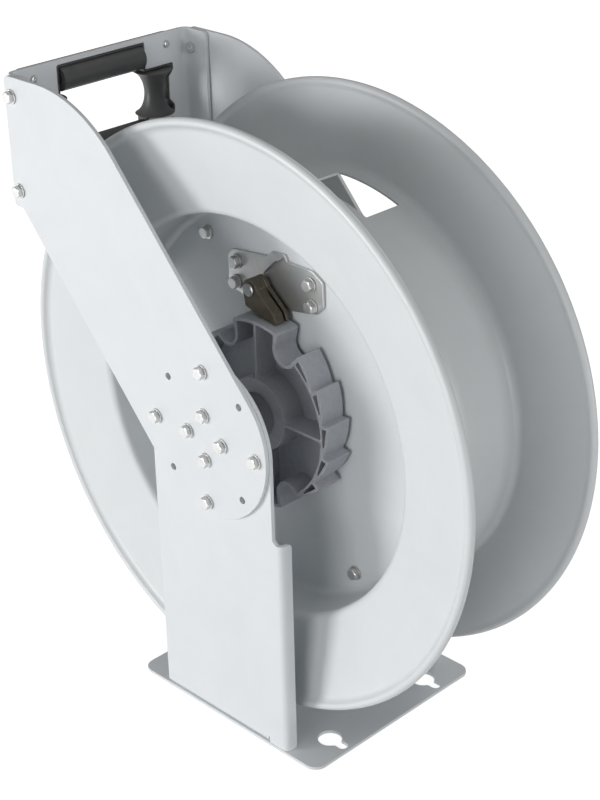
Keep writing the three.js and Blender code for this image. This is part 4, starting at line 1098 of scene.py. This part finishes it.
def tooth_pocket(start):
    """The slit inside a tooth, widest at the tip's side."""
    inside = tip_radius - tooth_drop - 0.6
    corners = [polar(inside, start + 2), polar(tip_radius - 3.2, start + 2),
               polar(inside + 1.6, start + 0.66 * tooth_span), polar(inside, start + 0.66 * tooth_span)]
    return rounded(corner_list(np.array(corners), 0.4), 2)


pockets = [quarter_pocket(u, v) for u in (-1, 1) for v in (-1, 1)]
pockets += [tooth_pocket(turn + land_half + notch_span + k * tooth_span)
            for turn in (0, 180) for k in range(5)]
wheel_walls = [wall(wheel_outline(), wheel_near, wheel_back, edge=0.4),
               wall(circle(0, axis_height, shaft_bore, 48), wheel_near, wheel_back, hole=True, edge=0.6)]
wheel_walls += [wall(pocket, wheel_near, wheel_floor, hole=True, edge=0.35, round_end=False)
                for pocket in pockets]
wheel_faces = [[(k, 0) for k in range(len(wheel_walls))], [(0, -1), (1, -1)]]
wheel_faces += [[(k, -1)] for k in range(2, len(wheel_walls))]
make_piece("ratchet_wheel", [moulding(wheel_walls, wheel_faces, lambda u, v, depth: (u, depth, v))],
           "frame", "grey_plastic")

# %% [markdown]
# ## Shaft, hub and spring pack
# These are turned from bar or pressed from sheet, so each is one lathe profile. A small chamfer or
# round on every corner catches the light, which is most of what makes metal look machined.

# %% Shaft and its rings
flange_near, flange_far = -101.7, -95.7
flange_reach, shaft_end = 32, 140.3
waterway, waterway_end = 8, 39.4
shaft_profile = rounded([
    (0.01, flange_near, 0), (flange_reach, flange_near, 0.6), (flange_reach, flange_far, 0.8),
    (shaft_radius, flange_far, 1.5), (shaft_radius, shaft_end, 0.8), (waterway, shaft_end, 0.6),
    (waterway, waterway_end, 0.5), (0.01, waterway_end, 0)], 4)
make_piece("main_shaft", [turned(shaft_profile, 64)], "frame", "bright_steel")


def make_ring(name, outer, low, high, edge, body, finish):
    """A ring round the shaft, with a bore a little wider than the shaft."""
    profile = ring_profile(shaft_bore, outer, low, high, edge)
    return make_piece(name, [turned(profile, 64)], body, finish)


make_ring("ratchet_spacer", 21, flange_far + 0.3, wheel_near - 0.3, 0.8, "frame", "bright_steel")
make_ring("far_hub_plate", flange_reach, -flange_far, -flange_near, 0.8, "frame", "bright_steel")
make_ring("spring_arbor", 30, -8.4, 21.6, 0.8, "frame", "bright_steel")
union_near, union_end, union_reach, groove = 119.9, 156.3, 23, 21.6
union_profile = rounded([
    (shaft_bore, union_near, 0.4), (union_reach, union_near, 1.2), (union_reach, 128, 1.2),
    (groove, 129, 0.4), (groove, 131, 0.4), (union_reach, 132, 1.2),
    (union_reach, union_end, 1.6), (13, union_end, 1.0), (13, shaft_end + 2, 0.5),
    (shaft_bore, shaft_end + 2, 0.3)], 4)
make_piece("inlet_union", [turned(union_profile, 96)], "frame", "brass")


# %% Hexagons
def hexagon_rows(profile, flat_reach, steps=96, turn=0.0):
    """Rows of a turned shape whose radius is held to a hexagon. The hexagon's radius is its flat's
    reach over the cosine of the angle from the middle of the flat, and the profile's own radius cuts
    its corners off."""
    angles = np.linspace(0, 2 * math.pi, steps, endpoint=False)
    from_flat = (angles + turn + math.pi / 6) % (math.pi / 3) - math.pi / 6
    hexagon = flat_reach / np.cos(from_flat)
    return angles, np.minimum(profile[:, 0][:, None], hexagon[None])


def hexagonal(profile, flat_reach, centre, steps=96, turn=0.0):
    """A closed shell: the same points as turned() gives, with the hexagon's radius."""
    profile = np.array(profile, float)
    profile[:, 0] = np.maximum(profile[:, 0], 0.01)
    angles, radius = hexagon_rows(profile, flat_reach, steps, turn)
    along = np.broadcast_to(profile[:, 1][:, None], radius.shape)
    points = np.stack([radius * np.sin(angles), along, radius * np.cos(angles)], -1).reshape(-1, 3)
    return points + np.array(centre), [grid_faces(len(profile), steps, close_rows=True)]


nut_near, nut_far = 110.6, 119.6
nut_face, nut_corner = 21.4, 24.6
nut_profile = rounded([
    (shaft_bore, nut_near, 0.6), (nut_face, nut_near, 0.3), (nut_corner, nut_near + 1.5, 0.2),
    (nut_corner, nut_far - 1.5, 0.2), (nut_face, nut_far, 0.3), (shaft_bore, nut_far, 0.6)], 3)
make_piece("shaft_nut", [hexagonal(nut_profile, 20.7, (0, 0, axis_height), 96, math.pi / 6)],
           "frame", "zinc_plate")

# %% Drum hub, bushes and spring pack
case_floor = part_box("spring_case")[0].y * 1000
cover_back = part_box("spring_cover")[1].y * 1000
bush_bore, collar_reach, hub_flange = 19.3, 27.7, 60
hub_profile = rounded([
    (bush_bore, case_floor - 8, 0.5), (collar_reach, case_floor - 8, 0.8),
    (collar_reach, case_floor, 1.0), (hub_flange, case_floor, 0.6),
    (hub_flange, case_floor + 4, 0.8), (34, case_floor + 4, 1.0), (32, case_floor + 4, 0.3),
    (bush_bore, case_floor + 4, 0.5)], 3)
make_piece("drum_hub", [turned(hub_profile, 96)], "drum", "zinc_plate")
for name in ("near_bush", "far_bush"):
    low, high = (1000 * corner.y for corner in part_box(name))
    make_ring(name, bush_bore - 0.3, low, high, 0.5, "drum", "bronze")

case_depth, case_sheet, case_flange, case_reach = 46, 1.5, 170, 148
case_top, case_sheet_top = case_floor + case_depth, case_floor + case_sheet
case_profile = rounded([
    (60.3, case_floor, 0.3), (case_flange, case_floor, 0.4), (case_flange, case_sheet_top, 0.4),
    (case_reach, case_sheet_top, 2.0), (case_reach, case_top, 0.4),
    (case_reach - case_sheet, case_top, 0.4), (case_reach - case_sheet, case_sheet_top, 3.0),
    (60.3, case_sheet_top, 0.3)], 6)
make_piece("spring_case", [turned(case_profile, 192)], "drum", "zinc_plate")


def cover_profile():
    """The lid: a boss round the bush, a flat with one pressed ring, and a rim over the case."""
    back, inner = cover_back, cover_back - case_sheet
    rim_end, dent = back - 7.5, 2.2
    outside = rounded([
        (bush_bore, back, 0.3), (70, back, 2), (74, back - dent, 3), (88, back - dent, 3),
        (92, back, 2), (150.5, back, 2.0), (150.5, rim_end, 0.3)], 5, closed=False)
    inside = rounded([
        (149.0, rim_end, 0.3), (149.0, inner, 0.5), (92.6, inner, 2), (88.6, inner - dent, 3),
        (73.4, inner - dent, 3), (69.4, inner, 2), (23.3, inner, 0.5), (23.3, inner - 8, 0.4),
        (bush_bore, inner - 8, 0.3)], 5, closed=False)
    return np.concatenate([outside, inside])


make_piece("spring_cover", [turned(cover_profile(), 192)], "drum", "zinc_plate")
print("spring case", case_floor, case_top, "cover", cover_back)

# %% Mainspring
def spiral_spring():
    """One strip wound in a spiral. The middle line's radius grows evenly with the angle, and a
    small upright rectangle is carried along it."""
    turns, strip, width, start = 6, 1.2, 27.0, case_floor + 7
    first, last = 33, 143.5
    share = np.linspace(0, 1, turns * 72 + 1)
    radius = first + (last - first) * share
    middle = polar(radius, 360 * turns * share)
    outward_way = unit(middle - (0, axis_height))
    sides = np.stack([middle, middle + outward_way * strip], 1)
    rectangle = ((0, start), (0, start + width), (1, start + width), (1, start))
    corners = np.stack([np.column_stack([sides[:, k, 0], np.full(len(share), y), sides[:, k, 1]])
                        for k, y in rectangle], 1)
    ends = np.array([[0, 1, 2, 3], [3, 2, 1, 0]]) + np.array([[0], [4 * (len(share) - 1)]])
    return corners.reshape(-1, 3), [grid_faces(len(share), 4), ends]


make_piece("mainspring", [spiral_spring()], "drum", "bright_steel")

# %% [markdown]
# ## Swivel and outlet
# Water comes through the hollow shaft into a brass swivel that turns with the drum, past two seals,
# and leaves through an elbow that points at the core's window. The elbow is a ring of points
# carried along a path, square to it, and its radius swells into barbs at the end for the hose.

# %% Swivel
swivel_low, swivel_high = (1000 * corner.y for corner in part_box("swivel_body"))
collar, waist_reach, seat_reach, chamber_reach = 29, 28, 19.2, 18.3
swivel_profile = rounded([
    (shaft_bore, swivel_low, 0.3), (27, swivel_low, 0.4), (collar, swivel_low + 2, 0.4),
    (collar, swivel_low + 8, 0.6), (waist_reach, swivel_low + 9, 0.6),
    (waist_reach, swivel_high - 9, 0.6), (collar, swivel_high - 8, 0.6),
    (collar, swivel_high - 2, 0.4), (27, swivel_high, 0.4), (shaft_bore, swivel_high, 0.3),
    (shaft_bore, swivel_high - 4, 0.1), (seat_reach, swivel_high - 4, 0.1),
    (seat_reach, swivel_high - 8, 0.1), (chamber_reach, swivel_high - 8, 0.1),
    (chamber_reach, swivel_low + 8, 0.1), (seat_reach, swivel_low + 8, 0.1),
    (seat_reach, swivel_low + 4, 0.1), (shaft_bore, swivel_low + 4, 0.1)], 3)
make_piece("swivel_body", [turned(swivel_profile, 96)], "drum", "brass")
for name in ("swivel_seal_near", "swivel_seal_far"):
    low, high = (1000 * corner.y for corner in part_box(name))
    make_ring(name, seat_reach - 0.3, low, high, 1.2, "drum", "seal_rubber")


# %% Outlet elbow
def tube_along(path, radius, steps=40):
    """Rings along a path that lies in a plane across the drum axis. Each ring stands square to the
    path: one of its axes is the drum's, and the other is the path's own sideways direction."""
    ahead = np.diff(path, axis=0)
    along = unit(np.concatenate([ahead[:1], unit(ahead[1:]) + unit(ahead[:-1]), ahead[-1:]]))
    side = np.stack([-along[:, 1], along[:, 0]], -1)
    turn = np.linspace(0, 2 * math.pi, steps, endpoint=False)
    flat = path[:, None] + radius[:, None, None] * np.cos(turn)[None, :, None] * side[:, None]
    lift = radius[:, None] * np.sin(turn)[None]
    return np.stack([flat[..., 0], lift, flat[..., 1]], -1).reshape(-1, 3)


def elbow():
    """Out along -X, round a bend, and up. The outside and the bore are two tubes whose ends join."""
    elbow_low, elbow_high = (np.array(corner) * 1000 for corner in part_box("outlet_elbow"))
    start, top = elbow_high[0], elbow_high[2]
    tail, bend = elbow_low[0] + 12, 40.0
    straight = np.column_stack([np.linspace(start, tail + bend, 10), np.full(10, axis_height)])
    curve = arc(tail + bend, axis_height + bend, bend, 270, 180, 24)
    upright_at = np.linspace(axis_height + bend, top, 70)[1:]
    path = np.concatenate([straight, curve[1:], np.column_stack([np.full(69, tail), upright_at])])
    near_end = top - path[:, 1]
    barbed = (path[:, 1] > axis_height + bend) & (near_end < 30)
    barb = 10.2 + 1.7 * ((near_end / 7.5) % 1.0)
    barb = np.where(near_end < 1.0, np.minimum(barb, 10.4), barb)
    at_collar = (path[:, 0] > start - 7) & (path[:, 1] < axis_height + 1)
    outside = np.where(at_collar, 12.0, np.where(barbed, barb, 11.0))
    outer = tube_along(path, outside)
    bore = tube_along(path, np.full(len(path), 8.6))
    points = np.concatenate([outer, bore[::-1]]) + (0, (swivel_low + swivel_high) / 2, 0)
    return points, [grid_faces(2 * len(path), 40, close_rows=True)]


make_piece("outlet_elbow", [elbow()], "drum", "brass")

# %% [markdown]
# ## Pawl, its plate and its spring
# The pawl hangs on a pin from a small plate that is screwed to the drum, and drops between the
# wheel's teeth. It is a casting with soft edges, split by a slot at its nose. The plate has a tab
# that holds the spring. Places on the plate are measured from the pawl's pivot.

# %% Pawl plate
pivot = np.array([-13.0, axis_height + 112.0])
plate_far, plate_near = -18.3, -20.9
plate_corners = np.array([
    (-47, -15, 5), (-25, -20, 6), (31, -17.5, 6), (61, -12.5, 5), (69.5, -4, 4), (69, 19, 4),
    (56, 26.3, 4), (27, 26.5, 2), (24, 32.6, 2.5), (8, 31, 2.5), (2.5, 25.8, 2), (-41, 21, 5),
    (-47, 15, 4)], float)
plate_corners[:, :2] += pivot
plate_outline = rounded(plate_corners, 6)
pawl_screw_places = np.array([(-36, 10.4), (-37, -9), (54.4, 14), (56, -5.7)]) + pivot
pin_hole = 4.3
plate_loops = [plate_outline, circle(*pivot, pin_hole)]
plate_loops += [circle(u, v, bolt_hole, 20) for u, v in pawl_screw_places]
make_piece("pawl_plate", [plate(plate_loops, plate_far - plate_near, facing_y(plate_near, 1))],
           "drum", "zinc_plate")

# %% Pawl
pawl_near, pawl_width = -40.5, 16.4
tip_u, tip_lift = 20, 1.9         # the nose stands this far over the land
tip_height = axis_height + math.sqrt((tip_radius + tip_lift) ** 2 - tip_u ** 2)
land_height = axis_height + tip_radius


def pawl_cheek(near, far):
    """The pawl's full outline between two planes: a round boss, and a nose that comes down to the
    wheel's land."""
    boss = arc(pivot[0], pivot[1], 9.0, 10, 190, 24)
    nose = [(-19, land_height + 6.9, 2), (0, land_height + 0.9, 8),
            (tip_u - 3.4, tip_height - 1.3, 1.6), (tip_u, tip_height, 1.5),
            (tip_u - 3.5, tip_height + 8, 3.0)]
    outline = rounded(np.concatenate([np.array(nose), corner_list(boss)]), 4)
    return plate([outline, circle(*pivot, pin_hole, 32)], far - near, facing_y(near, 1), edge=0.8)


def pawl_web(near, far):
    """What joins the cheeks: the same body, cut back from the nose, which leaves the slot."""
    boss = arc(pivot[0], pivot[1], 8.2, 10, 190, 24)
    nose = [(-18, land_height + 7.7, 2), (0, land_height + 1.8, 5),
            (7.5, tip_height + 1.0, 1.5), (4.5, tip_height + 5.5, 2)]
    outline = rounded(np.concatenate([np.array(nose), corner_list(boss)]), 4)
    return plate([outline, circle(*pivot, 4.5, 32)], far - near, facing_y(near, 1), edge=0.1)


slot_middle, slot_half = pawl_near + pawl_width * 0.68, 1.4
pawl_shells = [pawl_cheek(pawl_near, slot_middle - slot_half),
               pawl_web(slot_middle - slot_half - 0.2, slot_middle + slot_half + 0.2),
               pawl_cheek(slot_middle + slot_half, pawl_near + pawl_width)]
make_piece("pawl", pawl_shells, "pawl", "pawl_cast")
pin_profile = rounded([
    (0.01, -43.0, 0), (5.0, -43.0, 0.8), (6, -42.2, 0.5), (6, -40.9, 0.4), (4, -40.9, 0.2),
    (4, -18.6, 0.5), (0.01, -18.6, 0)], 4)
pin_centre = (pivot[0], 0, pivot[1])
make_piece("pawl_pin", [turned(pin_profile, 40, pin_centre)], "drum", "bright_steel")


# %% Pawl spring
def leaf_spring():
    """A bent strip between the plate's tab and the pawl's back. Its middle line is offset to both
    sides by half the strip."""
    line = rounded([(22, 29, 0), (16, 25, 8), (9, 18, 10), (4, 12.5, 0)], 6, closed=False) + pivot
    ahead = unit(np.gradient(line, axis=0))
    across = 0.5 * np.stack([-ahead[:, 1], ahead[:, 0]], -1)
    return plate([np.concatenate([line + across, (line - across)[::-1]])], 6.0,
                 facing_y(plate_near - 6.3, 1), edge=0.1)


make_piece("pawl_spring", [leaf_spring()], "drum", "bright_steel")


# %% Screws and nuts
screw_radius, washer_radius, washer_height, head_top_height = 2.9, 6.8, 1.3, 5.9
head_corner, nut_height, nut_seat = 5.85, 5.0, 8.4


def screw_shells(centre, seat, out, shank_end, nut_at=None):
    """A hexagon screw with a washer: y runs outwards from the seat. The head's radius is held to a
    hexagon, and the slope of its top edge cuts the corners off. Each head is turned by its place,
    as screws stop at any angle."""
    x, z = centre
    place = (x, 0, z)
    washer = rounded([(screw_radius, 0.0, 0), (washer_radius, 0.0, 0.3),
                      (washer_radius, washer_height, 0.3), (screw_radius, washer_height, 0)], 3)
    head = rounded([(0.01, head_top_height, 0), (4.6, head_top_height, 0.3), (head_corner, 5.3, 0.2),
                    (head_corner, 1.5, 0), (5.2, washer_height, 0), (0.01, washer_height, 0)], 3)
    shank = rounded([(0.01, -shank_end, 0), (2.3, -shank_end, 0.2),
                     (screw_radius, -shank_end + 0.7, 0.2), (screw_radius, 1.0, 0),
                     (0.01, 1.0, 0)], 2)
    flip = np.array([1, out])
    shells = [turned(washer * flip + (0, seat), 40, place),
              hexagonal(head * flip + (0, seat), 5.05, place, 72, 0.3 * x),
              turned(shank * flip + (0, seat), 24, place)]
    if nut_at is not None:
        nut = rounded([(3.0, -nut_at, 0.2), (4.9, -nut_at, 0.2), (5.8, -nut_at - 0.7, 0.1),
                       (5.8, -nut_at - 4.3, 0.1), (4.9, -nut_at - nut_height, 0.2),
                       (3.0, -nut_at - nut_height, 0.2)], 2)
        shells.append(hexagonal(nut * flip + (0, seat), 5.0, place, 72, 0.2 * z))
    return shells


for name in sorted(frame["nodes"]):
    if "_screw" not in name:
        continue
    low, high = (np.array(corner) * 1000 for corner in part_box(name))
    out = 1 if name.startswith("far") else -1
    seat = high[1] - head_top_height if out > 0 else low[1] + head_top_height
    inner_end = seat - low[1] if out > 0 else high[1] - seat
    with_nut = "hub_screw" in name or "guide_screw" in name
    on_drum = name.startswith(("web", "pawl"))
    middle = ((low[0] + high[0]) / 2, (low[2] + high[2]) / 2)
    if "hub" in name or "shaft" in name:
        spot = ["top", "front", "bottom", "rear"].index(name.rsplit("_", 1)[1])
        middle = polar(bolt_circle if "hub" in name else inner_bolt_circle, 90 * spot)
    make_piece(name, screw_shells(middle, seat, out, inner_end, nut_seat if with_nut else None),
               "drum" if on_drum else "frame", "zinc_plate")

# %% Foot bolts and carrier screws
def stood_up(shell):
    """Turns a shell that points along Y so that it points along Z."""
    return shell[0][:, [0, 2, 1]], shell[1]


def laid_along_x(shell):
    """Turns a shell that points along Y so that it points along X."""
    return shell[0][:, [1, 0, 2]], shell[1]


foot_top = leg_bottom + sheet
for k, (x, y) in enumerate(foot_bolts):
    shells = [stood_up(shell) for shell in screw_shells((x, y), foot_top, 1, foot_top - 0.4)]
    make_piece(f"foot_bolt_{k + 1}", shells, "frame", "zinc_plate", extra=True)

pan_head = rounded([(0.01, 1.1, 0), (1.5, 1.1, 0.1), (1.7, 2.3, 0.2), (3.2, 1.8, 1.2), (4.1, 0.05, 0.2),
                    (0.01, 0.05, 0)], 4)
inner_face = guide_face + sheet
for k, (y, z) in enumerate([(side * 78, rise) for rise in (43, -43) for side in (-1, 1)]):
    shell = turned(pan_head + (0, inner_face), 32, (y, 0, window_height + z))
    make_piece(f"carrier_screw_{k + 1}", [laid_along_x(shell)], "frame", "zinc_plate", extra=True)
